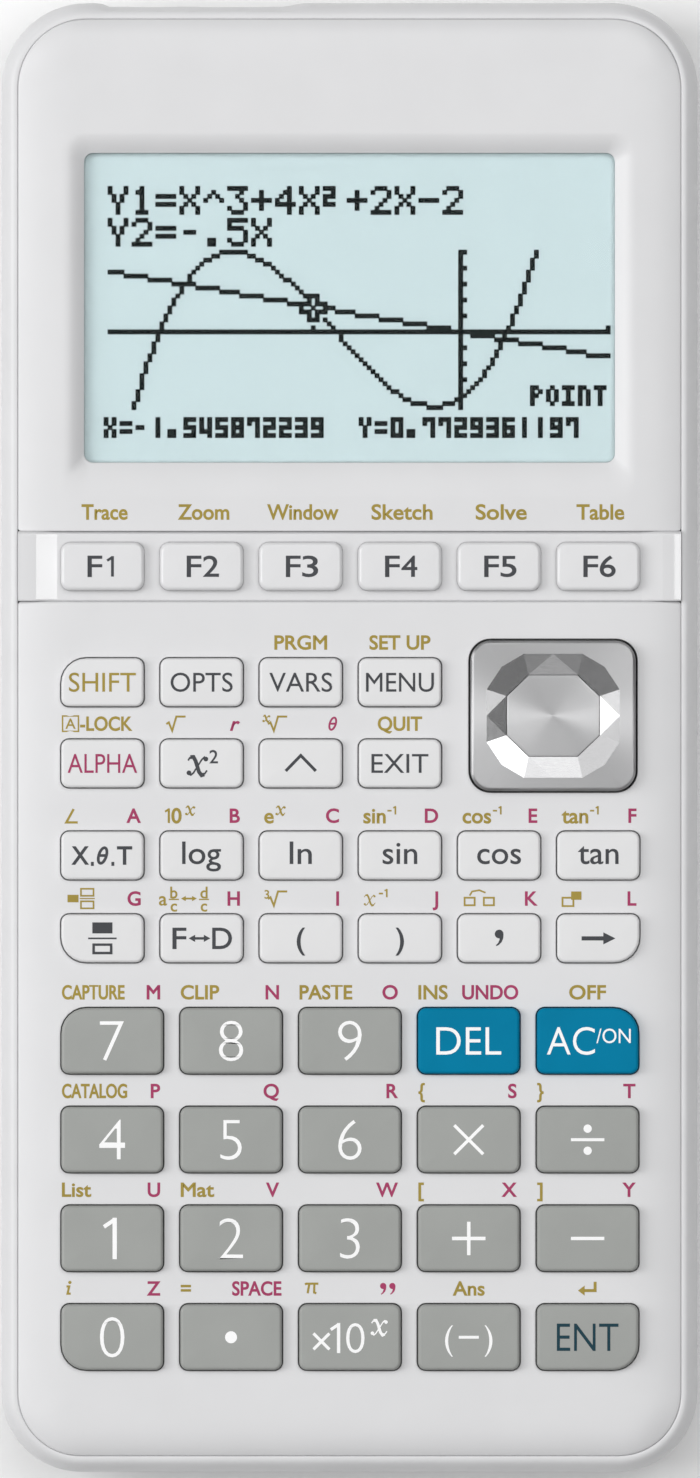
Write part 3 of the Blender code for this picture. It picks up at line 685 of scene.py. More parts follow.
def make_spring(number, x, z, wall, cell_end):
    """A coil of bent wire that narrows from the bay's wall towards the cell."""
    wire = bpy.data.curves.new(f"contact_spring_{number}", "CURVE")
    wire.dimensions = "3D"
    wire.bevel_depth = 0.22 * MM
    wire.bevel_resolution = 2
    wire.use_fill_caps = True
    turns, steps = 3, 20
    spline = wire.splines.new("POLY")
    spline.points.add(turns * steps)
    for i in range(turns * steps + 1):
        share = i / (turns * steps)
        radius = 3.4 - 1.7 * share
        angle = 2 * math.pi * turns * share
        y = wall + (cell_end - wall) * (0.17 + 0.68 * share)
        spot = (x + radius * math.cos(angle), y, z + radius * math.sin(angle))
        spline.points[i].co = [part * MM for part in spot] + [1.0]
    spring = bpy.data.objects.new(f"contact_spring_{number}", wire)
    bpy.context.scene.collection.objects.link(spring)
    wire.materials.append(NICKEL)
    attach(spring, "body")


# ---------------------------------------------------------------- the board and its sockets

BOARD_UNDER = 11.9
BOARD_END_Y = 84.3
SOCKETS_X = (-30.6, -6.0)


def make_board():
    """The circuit board, which runs round the battery bay to the sockets, and its chip."""
    inner = -BAY_HALF_X - 3.8
    edge, bottom = BOARD_HIGH.x, BOARD_LOW.y
    bay_low, bay_high = BAY_Y[0] - 2.2, BAY_Y[1] + 1.6
    tongue_low, tongue_high = SOCKETS_X
    outline = [
        (-edge, bottom),
        (edge, bottom),
        (edge, bay_low),
        (inner, bay_low),
        (inner, bay_high),
        (tongue_high, bay_high),
        (tongue_high, BOARD_END_Y),
        (tongue_low, BOARD_END_Y),
        (tongue_low, bay_high),
        (-edge, bay_high),
    ]
    board = loft([at_height(outline, BOARD_UNDER), at_height(outline, BOARD_HIGH.z)])
    make_piece("circuit_board", board, BOARD, "body", ["main_board"], flat=True)
    chip = soft_box((-9.0, -12.0, 10.7), (7.0, 4.0, BOARD_UNDER - 0.02), 0.15, 0.3)
    make_piece("processor", chip, CHIP, "body")


def make_sockets():
    """The USB socket's metal shell and its tongue, and the jack's collar and body."""
    face = HALF_Y - SOCKET_DIP - 0.5
    half_x, half_z = USB_HALF
    shell = []
    for inset, y in ((0.0, 78.5), (0.0, face), (0.35, face), (0.35, 79.5)):
        outline = rounded(half_x - inset, half_z - inset, 1.0 - inset * 0.5, (USB_X, USB_Z), 5)
        shell.append([(x, y, z) for x, z in outline])
    make_piece("usb_shell", loft(shell), NICKEL, "body")
    tongue = soft_box((USB_X - 2.4, 79.4, USB_Z - 0.3), (USB_X + 2.4, face - 0.8, USB_Z + 0.35), 0.08, 0.1)
    make_piece("usb_tongue", tongue, BLACK, "body")
    collar = [(2.2, 78.0), (JACK_RADIUS, 78.1), (JACK_RADIUS, face - 0.1), (JACK_RADIUS - 0.15, face)]
    collar += [(1.35, face), (1.25, face - 0.2), (1.25, face - 5.5), (0.02, face - 5.5)]
    make_piece("jack_collar", turned(collar, 40, (JACK_X, 0.0, JACK_Z), "Y"), BLACK, "body")
    low, high = (JACK_X - 3.2, 78.0, JACK_Z - 2.9), (JACK_X + 3.2, face - 3.2, BOARD_UNDER - 0.02)
    make_piece("jack_body", soft_box(low, high, 0.2, 0.3), BLACK, "body")



# ---------------------------------------------------------------- the face


def key_middle(name):
    low, high = node_box(name)
    return ((low.x + high.x) / 2, (low.y + high.y) / 2)


def key_half(name):
    """Half the size of the cap that shows, without the flange that the CAD solid has under the face."""
    low, high = node_box(name)
    grow = GAP - (FUNCTION_GAP if name in FUNCTION_KEYS else KEY_GAP)
    return ((high.x - low.x) / 2 - FLANGE + grow, (high.y - low.y) / 2 - FLANGE + grow)


def key_corners(name, change=0.0):
    corner = FUNCTION_CORNER if name in FUNCTION_KEYS else KEY_CORNER
    corners = [corner + change] * 4
    if name in WIDE_CORNERS:
        corners[WIDE_CORNERS[name]] = WIDE_CORNER + change
    return corners


def key_outline(name, change=0.0):
    half_x, half_y = key_half(name)
    return rounded(half_x + change, half_y + change, key_corners(name, change), key_middle(name), 6)


def soften_corner(point, edge_x, edge_y, side_y):
    """Moves a point near a plate's square corner, so that the corner becomes round."""
    x, y, z = point
    radius = PLATE_CORNER
    side_x = 1 if x > 0 else -1
    u = 1 - (edge_x - abs(x)) / radius
    v = 1 - (side_y * (edge_y - y)) / radius
    if u <= 0 or v <= 0:
        return point
    round_u, round_v = u * math.sqrt(1 - v * v / 2), v * math.sqrt(1 - u * u / 2)
    new_x = side_x * (edge_x - radius * (1 - round_u))
    return (new_x, edge_y - side_y * radius * (1 - round_v), z)


def face_drop(x, y):
    """How far the crowned face has fallen at a place: the ends fall later than the sides, and faster."""
    side = max(1 - (HALF_X - FACE_INSET - abs(x)) / CROWN_SIDE, 0.0)
    end = max(1 - (HALF_Y - FACE_INSET - abs(y)) / CROWN_END, 0.0)
    share = math.hypot(side, end)
    if share == 0:
        return 0.0
    power = (CROWN_POWER_SIDE * side**2 + CROWN_POWER_END * end**2) / share**2
    return CROWN_DROP * min(share, 1.0) ** power


def crown_rows():
    """(inset, drop) over the plate's edge: down from its small round edge, then flat under the crown."""
    rows = []
    for out, drop in reversed(list(round_steps(FACE_EDGE_ROUND, 4))[1:]):
        rows.append((FACE_INSET + FACE_EDGE_ROUND - out, drop))
    start = FACE_INSET + FACE_EDGE_ROUND
    steps = 14
    rows += [(start + CROWN_ROWS * step / steps, 0.0) for step in range(steps + 1)]
    return rows


def plate_row(inset, drop, far, near, way):
    """One row over a plate, from its near edge at -x, round the far end, to its near edge at +x."""
    corner = TOP_CORNER if way > 0 else BOTTOM_CORNER
    radius = max(corner - inset, 2.6)
    half_x, far_y = HALF_X - inset, far - way * inset
    points = []
    steps = 16
    length = abs(far_y - near) - radius
    for along in [0.0, 0.12, 0.25, 0.4, 0.55, 0.7, 2.0] + [length * part / 8 for part in range(1, 8)]:
        points.append((-half_x, near + way * along, FACE_TOP - drop))
    for step in range(steps + 1):
        angle = math.pi / 2 * step / steps
        x = -half_x + radius * (1 - math.cos(angle))
        points.append((x, far_y - way * radius * (1 - math.sin(angle)), FACE_TOP - drop))
    end_steps = 12
    first = points[-1]
    for step in range(1, end_steps // 2):
        points.append((first[0] * (1 - 2 * step / end_steps), first[1], first[2]))
    middle = (0.0, first[1], first[2])
    return points + [middle] + [(-x, y, z) for x, y, z in reversed(points)]


def cut_lines(bm, places, axis):
    """Cuts a mesh along lines across the given axis, so that it can bend there."""
    for place in places:
        spot = [0.0, 0.0, 0.0]
        spot[axis] = place
        normal = [0.0, 0.0, 0.0]
        normal[axis] = 1.0
        geometry = bm.verts[:] + bm.edges[:] + bm.faces[:]
        bmesh.ops.bisect_plane(bm, geom=geometry, dist=1e-4, plane_co=spot, plane_no=normal)


def make_plate(name, far, near, way, edge_round, holes):
    """A face plate, crowned on three sides and straight along the band, with its openings.

    holes holds one list of rings for each opening, from the top of the face down to its underside."""
    bm = bmesh.new()
    rows = []
    for inset, drop in crown_rows():
        rows.append(add_ring(bm, plate_row(inset, drop, far, near + way * edge_round, way)))
    for outer, inner in zip(rows, rows[1:]):
        bridge(bm, outer, inner, closed=False)
    straight = [row[0] for row in rows] + [row[-1] for row in reversed(rows)]
    edge_rows = [straight]
    for out, drop in list(round_steps(edge_round, 4))[1:]:
        points = [(v.co.x, near + way * (edge_round - out), v.co.z - drop) for v in straight]
        edge_rows.append(add_ring(bm, points))
    for first, second in zip(edge_rows, edge_rows[1:]):
        bridge(bm, first, second, closed=False)
    loop = list(rows[0])
    loop += [row[-1] for row in edge_rows[1:]]
    loop += edge_rows[-1][-2:0:-1]
    loop += [row[0] for row in reversed(edge_rows[1:])]
    under = add_ring(bm, [(v.co.x, v.co.y, FACE_UNDER) for v in loop])
    bridge(bm, loop, under)

    top_loops, under_loops = [rows[-1]], [under]
    for rings in holes:
        made = add_loft(bm, rings, capped=False)
        top_loops.append(made[0])
        under_loops.append(made[-1])
    fill_between(bm, top_loops)
    fill_between(bm, under_loops)
    edge_x = HALF_X - FACE_INSET
    bends = [32.7 + 0.35 * step for step in range(8)]
    cut_lines(bm, bends + [-x for x in bends], 0)
    cut_lines(bm, [way * (HALF_Y - FACE_INSET - CROWN_END + 0.3 + 0.45 * step) for step in range(8)], 1)
    for vertex in bm.verts:
        x, y, z = soften_corner(tuple(vertex.co), edge_x, near, -way)
        share = min(max((z - FACE_UNDER) / (FACE_TOP - CROWN_DROP - FACE_UNDER), 0.0), 1.0)
        vertex.co = (x, y, z - face_drop(x, y) * share)
    return make_piece(name, bm, SHELL, "body", ["front_case"])


def opening_rings(outline_at):
    """Rings down an opening whose rim is slightly rounded. outline_at(change) gives its outline."""
    lip = 0.1
    rings = [at_height(outline_at(lip - out), FACE_TOP - drop) for out, drop in round_steps(lip, 3)]
    rings.append(at_height(outline_at(0.0), FACE_UNDER))
    return rings


def recess_rings():
    """Rings down the display's recess, which gets steeper towards the window, and its upright end."""
    rings = []
    steps = 12
    for step in range(steps + 1):
        share = step / steps
        away = 1 - share
        side = RECESS_RUN["side"] * away
        top, bottom = RECESS_RUN["top"] * away, RECESS_RUN["bottom"] * away
        corner = WINDOW_CORNER + (RECESS_CORNER - WINDOW_CORNER) * away
        middle = (0.0, WINDOW_MIDDLE[1] + (top - bottom) / 2)
        outline = rounded(WINDOW_HALF_X + side, WINDOW_HALF_Y + (top + bottom) / 2, corner, middle, 10)
        depth = (FACE_TOP - LENS_HIGH.z) * share**1.7
        rings.append(at_height(outline, FACE_TOP - depth))
    for out, drop in list(round_steps(0.12, 3))[1:]:
        outline = rounded(WINDOW_HALF_X - out, WINDOW_HALF_Y - out, WINDOW_CORNER - out, WINDOW_MIDDLE, 10)
        rings.append(at_height(outline, LENS_HIGH.z - drop))
    rings.append([(x, y, FACE_UNDER) for x, y, _ in rings[-1]])
    return rings


def pad_outline(change=0.0):
    half_x, half_y = PAD_HALF
    return rounded(half_x + change, half_y + change, PAD_CORNER + change, PAD_MIDDLE, 10)


def make_face():
    """The upper plate round the display, and the lower plate round the keys and the cursor pad."""
    make_plate("face_display", HALF_Y, BAND_Y[1] + BAND_SLIT, 1, 0.12, [recess_rings()])
    holes = []
    for name in ALL_KEYS:
        if name not in FUNCTION_KEYS:
            holes.append(opening_rings(lambda change, key=name: key_outline(key, KEY_GAP + change)))
    holes.append(opening_rings(lambda change: pad_outline(PAD_GAP + change)))
    make_plate("face_keypad", -HALF_Y, BAND_Y[0] - BAND_SLIT, -1, 0.4, holes)


def band_height(x):
    """The band's height over the table at a distance from the middle line: trough, ramp and shoulder."""
    past = abs(x) - TROUGH_HALF_X
    if past <= 0:
        return TROUGH_TOP
    if past <= RAMP_RUN:
        return TROUGH_TOP + RAMP_RISE * past / RAMP_RUN
    shoulder = (past - RAMP_RUN) / (HALF_X - FACE_INSET - TROUGH_HALF_X - RAMP_RUN)
    return TROUGH_TOP + RAMP_RISE - BAND_SHOULDER * shoulder**2.5


def make_band():
    """The glossy band: a trough for the function keys, with a ramp at each end, and rounded long edges."""
    bm = bmesh.new()
    low_round, high_round = 0.28, 0.65
    low_y, high_y = BAND_Y
    half_x = HALF_X - FACE_INSET
    crest = TROUGH_HALF_X + RAMP_RUN
    ramp = [TROUGH_HALF_X + RAMP_RUN * i / 4 for i in range(4)]
    ramp += [crest + (half_x - crest) * i / 12 for i in range(13)]
    ramp_steps = len(ramp) - 1
    columns = [-x for x in reversed(ramp)] + ramp
    rows = []
    for out, drop in reversed(list(round_steps(low_round, 4))):
        y = low_y + low_round - out
        rows.append(add_ring(bm, [(x, y, band_height(x) - drop * BAND_EDGE_SINK) for x in columns]))
    low_rows = len(rows)
    for out, drop in round_steps(high_round, 8):
        y = high_y - high_round + out
        rows.append(add_ring(bm, [(x, y, band_height(x) - drop * BAND_EDGE_SINK) for x in columns]))
    for number, (first, second) in enumerate(zip(rows, rows[1:])):
        middle = number == low_rows - 1
        for i in range(len(columns) - 1):
            if middle and i == ramp_steps:
                continue
            bm.faces.new((first[i], first[i + 1], second[i + 1], second[i]))
    loop = rows[0] + [row[-1] for row in rows[1:]] + rows[-1][-2::-1] + [row[0] for row in rows[-2:0:-1]]
    under = add_ring(bm, [(v.co.x, v.co.y, FACE_UNDER) for v in loop])
    bridge(bm, loop, under)
    below, above = rows[low_rows - 1], rows[low_rows]
    flat = [below[ramp_steps], below[ramp_steps + 1], above[ramp_steps + 1], above[ramp_steps]]
    top_loops, under_loops = [flat], [under]
    for name in FUNCTION_KEYS:
        rings = [at_height(key_outline(name, FUNCTION_GAP), z) for z in (TROUGH_TOP, FACE_UNDER)]
        made = add_loft(bm, rings, capped=False)
        top_loops.append(made[0])
        under_loops.append(made[-1])
    fill_between(bm, top_loops)
    fill_between(bm, under_loops)
    make_piece("function_band", bm, BAND, "body", ["function_key_panel"], sharp=7.0)


# ---------------------------------------------------------------- keys and cursor pad

DOME_ROOM = 2.45
FLANGE_LIFT = 0.28
PAD_LIFT = 0.55
PAD_TAB = 0.8
PAD_CORNER = 2.4
PAD_MIDDLE = ((PAD_LOW.x + PAD_HIGH.x) / 2, (PAD_LOW.y + PAD_HIGH.y) / 2)
PAD_HALF = (
    (PAD_HIGH.x - PAD_LOW.x) / 2 - PAD_TAB + GAP - PAD_GAP,
    (PAD_HIGH.y - PAD_LOW.y) / 2 - PAD_TAB + GAP - PAD_GAP,
)


def key_look(name):
    """A key's material, the name of its group of keys, and the radius round its top edge."""
    if name in FUNCTION_KEYS:
        return FUNCTION_KEY, "function_keys", 0.55
    if name in BLUE_KEYS:
        return BLUE_KEY, "blue_keys", 0.4
    if name in NUMBER_KEYS:
        return GREY_KEY, "grey_keys", 0.4
    return LIGHT_KEY, "light_keys", 0.35


def make_key(name):
    """A key cap with a hollow for its rubber dome, a flange, a rounded top edge and a faintly domed top."""
    look, slot, edge = key_look(name)
    low, high = node_box(name)
    dome = 0.07
    top = high.z - dome
    hollow = rounded(DOME_ROOM, DOME_ROOM, 1.2, key_middle(name), 6)
    rings = [
        at_height(hollow, low.z + 1.15),
        at_height(hollow, low.z + FLANGE_LIFT),
        at_height(key_outline(name, FLANGE - 0.1), low.z + FLANGE_LIFT),
        at_height(key_outline(name, FLANGE - 0.1), low.z + 0.7),
        at_height(key_outline(name, 0.0), low.z + 0.7),
    ]
    for out, drop in reversed(list(round_steps(edge, 5))):
        rings.append(at_height(key_outline(name, out - edge), top - drop))
    half_y = key_half(name)[1]
    for share in (0.3, 0.55, 0.75):
        inset = edge + (half_y - edge) * share
        rise = dome * (1 - (1 - share) ** 2)
        shape = rounded(
            key_half(name)[0] - inset,
            half_y - inset,
            [max(radius - inset, 0.12) for radius in key_corners(name)],
            key_middle(name),
            6,
        )
        rings.append(at_height(shape, top + rise))
    make_piece(name + "_cap", loft(rings), look, name, [name])


def mirrored(points):
    """The points of the first quarter, repeated into all four."""
    return [(sx * x, sy * y) for x, y in points for sx in (1, -1) for sy in (1, -1)]


DISH_RIM = [(7.95, 3.15), (6.15, 5.85), (3.5, 7.4)]
DISH_PEAK = [(7.95, 0.0), (0.0, 7.4)]
DISH_FLOOR = [(5.6, 2.35), (2.95, 4.9)]
DISH_DEPTH = 0.8
DISH_PEAK_SINK = 0.04
DISH_RIM_SINK = 0.2


def round_pad(points):
    """The points in order round the pad's middle, each once."""
    unique = {(round(x, 4), round(y, 4)) for x, y in points}
    ordered = sorted(unique, key=lambda point: math.atan2(point[1], point[0]))
    return [(PAD_MIDDLE[0] + x, PAD_MIDDLE[1] + y) for x, y in ordered]


def make_cursor_pad():
    """The pad's plate, with its rounded edge and the opening for its dish."""
    edge = 0.45
    bm = bmesh.new()
    rings = [at_height(pad_outline(0.0), PAD_LOW.z + PAD_LIFT)]
    for out, drop in reversed(list(round_steps(edge, 6))):
        rings.append(at_height(pad_outline(out - edge), PAD_HIGH.z - drop))
    rows = add_loft(bm, rings, capped=False)
    rim = round_pad(mirrored(DISH_RIM) + mirrored(DISH_PEAK))
    rim_top = add_ring(bm, at_height(rim, PAD_HIGH.z))
    rim_low = add_ring(bm, at_height(rim, PAD_LOW.z + PAD_LIFT))
    bridge(bm, rim_top, rim_low)
    fill_between(bm, [rows[-1], rim_top])
    fill_between(bm, [rows[0], rim_low])
    make_piece("pad_plate", bm, PAD_METAL, "cursor_pad", ["cursor_pad"], sharp=40.0)
    make_pad_facets(PAD_HIGH.z)
    make_pad_floor(PAD_HIGH.z)


def make_pad_floor(top):
    """The spun floor of the dish, slightly hollow."""
    floor = round_pad(mirrored(DISH_FLOOR))
    centre = PAD_MIDDLE
    rings = []
    for share, sink in ((0.985, 0.04), (0.93, 0.0), (0.7, 0.05), (0.45, 0.11), (0.2, 0.15), (0.03, 0.16)):
        outline = [[c + (place - c) * share for c, place in zip(centre, point)] for point in floor]
        rings.append(at_height(outline, top - DISH_DEPTH + 0.03 - sink))
    low_ring = [(x, y, PAD_LOW.z + 1.7) for x, y, _ in rings[0]]
    make_piece("pad_floor", loft([low_ring] + rings), SPUN_METAL, "cursor_pad", sharp=50.0)


def make_pad_facets(top):
    """The slope of the dish: flat facets between the rim and the floor, mirrored into four quarters."""
    bm = bmesh.new()
    rim_a, rim_b, rim_c = DISH_RIM[::-1]
    low_a, low_b = DISH_FLOOR[::-1]
    centre = PAD_MIDDLE

    def face(points, side):
        corners = []
        for x, y, drop in points:
            corners.append(bm.verts.new((centre[0] + side[0] * x, centre[1] + side[1] * y, top - drop)))
        bm.faces.new(corners)

    top_peak, side_peak = (*DISH_PEAK[1], DISH_PEAK_SINK), (*DISH_PEAK[0], DISH_PEAK_SINK)
    a, b, c = (*rim_a, DISH_RIM_SINK), (*rim_b, 0.012), (*rim_c, DISH_RIM_SINK)
    p, q = (*low_a, DISH_DEPTH), (*low_b, DISH_DEPTH)
    for side in ((1, 1), (-1, 1), (-1, -1), (1, -1)):
        for points in ((top_peak, a, p), (a, b, c, q, p), (c, side_peak, q)):
            face(points, side)
    for side in (1, -1):
        x, y = low_a
        face((top_peak, (x, y, DISH_DEPTH), (-x, y, DISH_DEPTH)), (1, side))
        x, y = low_b
        face((side_peak, (x, y, DISH_DEPTH), (x, -y, DISH_DEPTH)), (side, 1))
    bmesh.ops.remove_doubles(bm, verts=bm.verts, dist=1e-4)
    lower = bmesh.ops.extrude_face_region(bm, geom=bm.faces[:] + bm.edges[:] + bm.verts[:])
    for part in lower["geom"]:
        if isinstance(part, bmesh.types.BMVert):
            part.co.z = PAD_LOW.z + 1.6
    make_piece("pad_facets", bm, FACET_METAL, "cursor_pad", flat=True)


# ---------------------------------------------------------------- the display

DOT_COLUMNS = 128
DOT_PITCH = 0.4765
DOT_SIZE = 0.60
DOT_TOP_Y = WINDOW_MIDDLE[1] + 15.0
DOT_LEFT_X = -29.35

GLYPHS = {
    "Y": "10001 10001 01010 01010 00100 00100 00100",
    "1": "00100 01100 00100 00100 00100 00100 01110",
    "=": "00000 00000 11111 00000 11111 00000 00000",
    "X": "10001 10001 01010 00100 01010 10001 10001",
    "^": "00000 00100 01010 10001 00000 00000 00000",
    "3": "11111 00010 00100 00010 00001 10001 01110",
    "+": "00000 00100 00100 11111 00100 00100 00000",
    "4": "00010 00110 01010 10010 11111 00010 00010",
    "q": "11100 00100 11100 10000 11100 00000 00000",
    "2": "01110 10001 00001 00010 00100 01000 11111",
    "-": "00000 00000 00000 11111 00000 00000 00000",
    "n": "00000 00000 00000 01110 00000 00000 00000",
    ".": "00000 00000 00000 00000 00000 01100 01100",
    "5": "11111 10000 11110 00001 00001 10001 01110",
}
SMALL_GLYPHS = {
    "0": "111 101 101 101 111",
    "1": "010 010 010 010 010",
    "2": "111 001 111 100 111",
    "3": "111 001 111 001 111",
    "4": "101 101 101 111 001",
    "5": "111 100 111 001 111",
    "6": "111 100 111 101 111",
    "7": "111 101 001 001 001",
    "8": "111 101 111 101 111",
    "9": "111 101 111 001 111",
    "X": "101 101 010 101 101",
    "Y": "101 101 010 010 010",
    "=": "000 111 000 111 000",
    "-": "000 000 110 000 000",
    ".": "000 000 000 110 110",
    "P": "110 101 110 100 100",
    "O": "010 101 101 101 010",
    "I": "111 010 010 010 111",
    "N": "110 101 101 101 101",
    "T": "111 010 010 010 010",
}


def write_dots(dots, words, glyphs, column, row):
    """Adds the dots of a line of text whose first glyph starts at that column and row."""
    for place, letter in enumerate(words):
        if letter == " ":
            continue
        lines = glyphs[letter].split()
        pitch = len(lines[0]) + 1
        for down, line in enumerate(lines):
            for along, dot in enumerate(line):
                if dot == "1":
                    dots.add((column + place * pitch + along, row + down))


def plot(dots, curve, axis_column, axis_row, first_row, last_row):
    """Adds the dots of a curve over the columns, joined up from each column to the next."""
    unit_x, unit_y = 23.9, 8.25
    before = None
    for column in range(1, DOT_COLUMNS - 1):
        row = round(axis_row - unit_y * curve((column - axis_column) / unit_x))
        start = row if before is None else before + (1 if row > before else -1 if row < before else 0)
        for between in range(min(start, row), max(start, row) + 1):
            if first_row <= between <= last_row:
                dots.add((column, between))
        before = row


def display_dots():
    """The dots that are dark: two functions, their graphs, the axes, a cross on a crossing and its place."""
    dots = set()
    write_dots(dots, "Y1=X^3+4Xq+2X-2", GLYPHS, 1, 1)
    write_dots(dots, "Y2=n.5X", GLYPHS, 1, 9)
    write_dots(dots, "X=-1.545872239", SMALL_GLYPHS, 0, 59)
    write_dots(dots, "Y=0.7729361197", SMALL_GLYPHS, 64, 59)
    write_dots(dots, "POINT", SMALL_GLYPHS, 107, 51)
    axis_column, axis_row, first_row, last_row = 89, 37, 17, 56
    plot(dots, lambda x: x**3 + 4 * x**2 + 2 * x - 2, axis_column, axis_row, first_row, last_row)
    plot(dots, lambda x: -0.5 * x, axis_column, axis_row, first_row, last_row)
    dots |= {(column, axis_row) for column in range(1, DOT_COLUMNS - 1)}
    dots |= {(axis_column, row) for row in range(first_row, last_row + 1)}
    dots |= {(axis_column + 1, row) for row in range(first_row, last_row, 4)}
    tick = 37
    dots |= {(axis_column + side * tick, axis_row - 1) for side in (1, -1)}
    draw_cross(dots, axis_column - tick, 31)
    return dots


def draw_cross(dots, column, row):
    """A hollow cross round a spot. It clears the dots inside it."""
    cross = ["..###..", "..#.#..", "###.###", "#..#..#", "###.###", "..#.#..", "..###.."]
    for down, line in enumerate(cross):
        for along, dot in enumerate(line):
            spot = (column - 3 + along, row - 3 + down)
            if dot == "#":
                dots.add(spot)
            elif 0 < along < 6 and 0 < down < 6:
                dots.discard(spot)


def make_display():
    """The clear lens, and the dots on the reflective panel under it."""
    rings = []
    inset = 0.26
    for out, drop in reversed(list(round_steps(0.12, 3))):
        change = -inset - 0.12 + out
        half_x, half_y = WINDOW_HALF_X + change, WINDOW_HALF_Y + change
        outline = rounded(half_x, half_y, WINDOW_CORNER + change, WINDOW_MIDDLE, 10)
        rings.append(at_height(outline, LENS_HIGH.z - 0.02 - drop))
    rings.insert(0, [(x, y, LENS_LOW.z) for x, y, _ in rings[0]])
    make_piece("display_lens", loft(rings), LENS, "body", ["display_window"])

    surface = LCD_HIGH.z + 0.005
    bm = bmesh.new()
    for column, row in sorted(display_dots()):
        x = DOT_LEFT_X + DOT_PITCH * (column + 0.5)
        y = DOT_TOP_Y - DOT_PITCH * (row + 0.5)
        half = DOT_SIZE / 2
        top = surface + 0.02 + 0.001 * (column % 2 + 2 * (row % 2))
        add_box(bm, (x - half, y - half, surface), (x + half, y + half, top))
    make_piece("display_dots", bm, LCD_DOT, "body", flat=True)


# ---------------------------------------------------------------- printed legends

INK = 0.010
INK_LIFT = 0.006


def font_cap_height():
    mesh = raw_text("H", 1.0)
    top = max(v.co.y for v in mesh.vertices)
    bpy.data.meshes.remove(mesh)
    return top


def raw_text(words, size, slant=0.0):
    """A flat mesh of some words, in millimetres, starting at the origin on the baseline."""
    curve = bpy.data.curves.new("words", "FONT")
    curve.body = words
    curve.size = size
    curve.shear = slant
    curve.resolution_u = 5
    curve.fill_mode = "FRONT"
    holder = bpy.data.objects.new("words", curve)
    mesh = bpy.data.meshes.new_from_object(holder)
    bpy.data.objects.remove(holder)
    bpy.data.curves.remove(curve)
    return mesh


CAP = font_cap_height()


def embolden(bm, amount):
    """Moves the outline of flat shapes outwards."""
    moves = []
    for vertex in bm.verts:
        rim = [edge for edge in vertex.link_edges if edge.is_boundary]
        if len(rim) != 2:
            continue
        normals = []
        for edge in rim:
            along = (edge.verts[1].co - edge.verts[0].co).normalized()
            normal = Vector((along.y, -along.x, 0.0))
            inside = edge.link_faces[0].calc_center_median() - edge.verts[0].co
            normals.append(-normal if normal.dot(inside) > 0 else normal)
        way = (normals[0] + normals[1]).normalized()
        moves.append((vertex, way * amount / max(way.dot(normals[0]), 0.5)))
    for vertex, move in moves:
        vertex.co += move


def words_at(words, height, at, align="centre", bold=0.0, slant=0.0, width=None):
    """Flat faces of some words whose capitals are that high, centred on a height.

    width squeezes or stretches them to fit, and bold thickens their strokes."""
    mesh = raw_text(words, height / CAP, slant)
    bm = bmesh.new()
    bm.from_mesh(mesh)
    bpy.data.meshes.remove(mesh)
    bmesh.ops.remove_doubles(bm, verts=bm.verts, dist=1e-5)
    low = min(v.co.x for v in bm.verts)
    high = max(v.co.x for v in bm.verts)
    scale = 1.0 if width is None else width / (high - low)
    span = (high - low) * scale
    start = {"left": at[0], "centre": at[0] - span / 2, "right": at[0] - span}[align]
    for vertex in bm.verts:
        vertex.co.x = start + (vertex.co.x - low) * scale
        vertex.co.y = at[1] + vertex.co.y - height / 2
    if bold:
        embolden(bm, bold)
    return bm


def stroke(points, width, closed=False):
    """A flat ribbon along some points, with mitred corners."""
    bm = bmesh.new()
    count = len(points)
    left, right = [], []
    for i, point in enumerate(points):
        before = points[(i - 1) % count] if closed or i else None
        after = points[(i + 1) % count] if closed or i < count - 1 else None
        here = Vector(point)
        ways = [(here - Vector(before)).normalized()] if before else []
        ways += [(Vector(after) - here).normalized()] if after else []
        way = sum(ways, Vector((0.0, 0.0))).normalized()
        side = Vector((-way.y, way.x))
        reach = width / 2 / max(abs(side.dot(Vector((-ways[0].y, ways[0].x)))), 0.35)
        left.append(bm.verts.new((*(here + side * reach), 0.0)))
        right.append(bm.verts.new((*(here - side * reach), 0.0)))
    for i in range(count if closed else count - 1):
        k = (i + 1) % count
        bm.faces.new((right[i], right[k], left[k], left[i]))
    return bm


def ellipse(half_x, half_y, at, lean=0.0, steps=24):
    points = []
    for step in range(steps):
        angle = 2 * math.pi * step / steps
        x, y = half_x * math.cos(angle), half_y * math.sin(angle)
        points.append((at[0] + x + lean * y, at[1] + y))
    return points


def rectangle(half_x, half_y, at):
    x, y = at
    corners = ((-1, -1), (1, -1), (1, 1), (-1, 1))
    return [(x + side_x * half_x, y + side_y * half_y) for side_x, side_y in corners]


def filled(points):
    bm = bmesh.new()
    bm.faces.new([bm.verts.new((x, y, 0.0)) for x, y in points])
    return bm


def theta_at(at, height, width):
    """The letter theta: a leaning oval with a bar."""
    half = height / 2 - width / 2
    x, y = at
    oval = stroke(ellipse(half * 0.5, half, at, 0.25), width, closed=True)
    return [oval, stroke([(x - half * 0.5, y), (x + half * 0.5, y)], width)]


def root_at(at, height, width):
    """A root sign: a tick, a long rise and a bar."""
    x, y = at
    low, high = y - height / 2, y + height / 2
    tick = [(x, y - 0.05), (x + 0.3, y + 0.15), (x + 0.7, low)]
    return [stroke(tick + [(x + 1.2, high), (x + 1.2 + 1.1, high)], width)]


def arrow_at(at, length, width, both=False):
    """An arrow with a solid head, to the right or to both sides."""
    x, y = at
    half, head = length / 2, width * 2.6
    made = [stroke([(x - half + (head if both else 0.0), y), (x + half - head, y)], width)]
    for side in (1, -1) if both else (1,):
        tip = x + side * half
        back = tip - side * head
        made.append(filled([(tip, y), (back, y + head * 0.55), (back, y - head * 0.55)]))
    return made


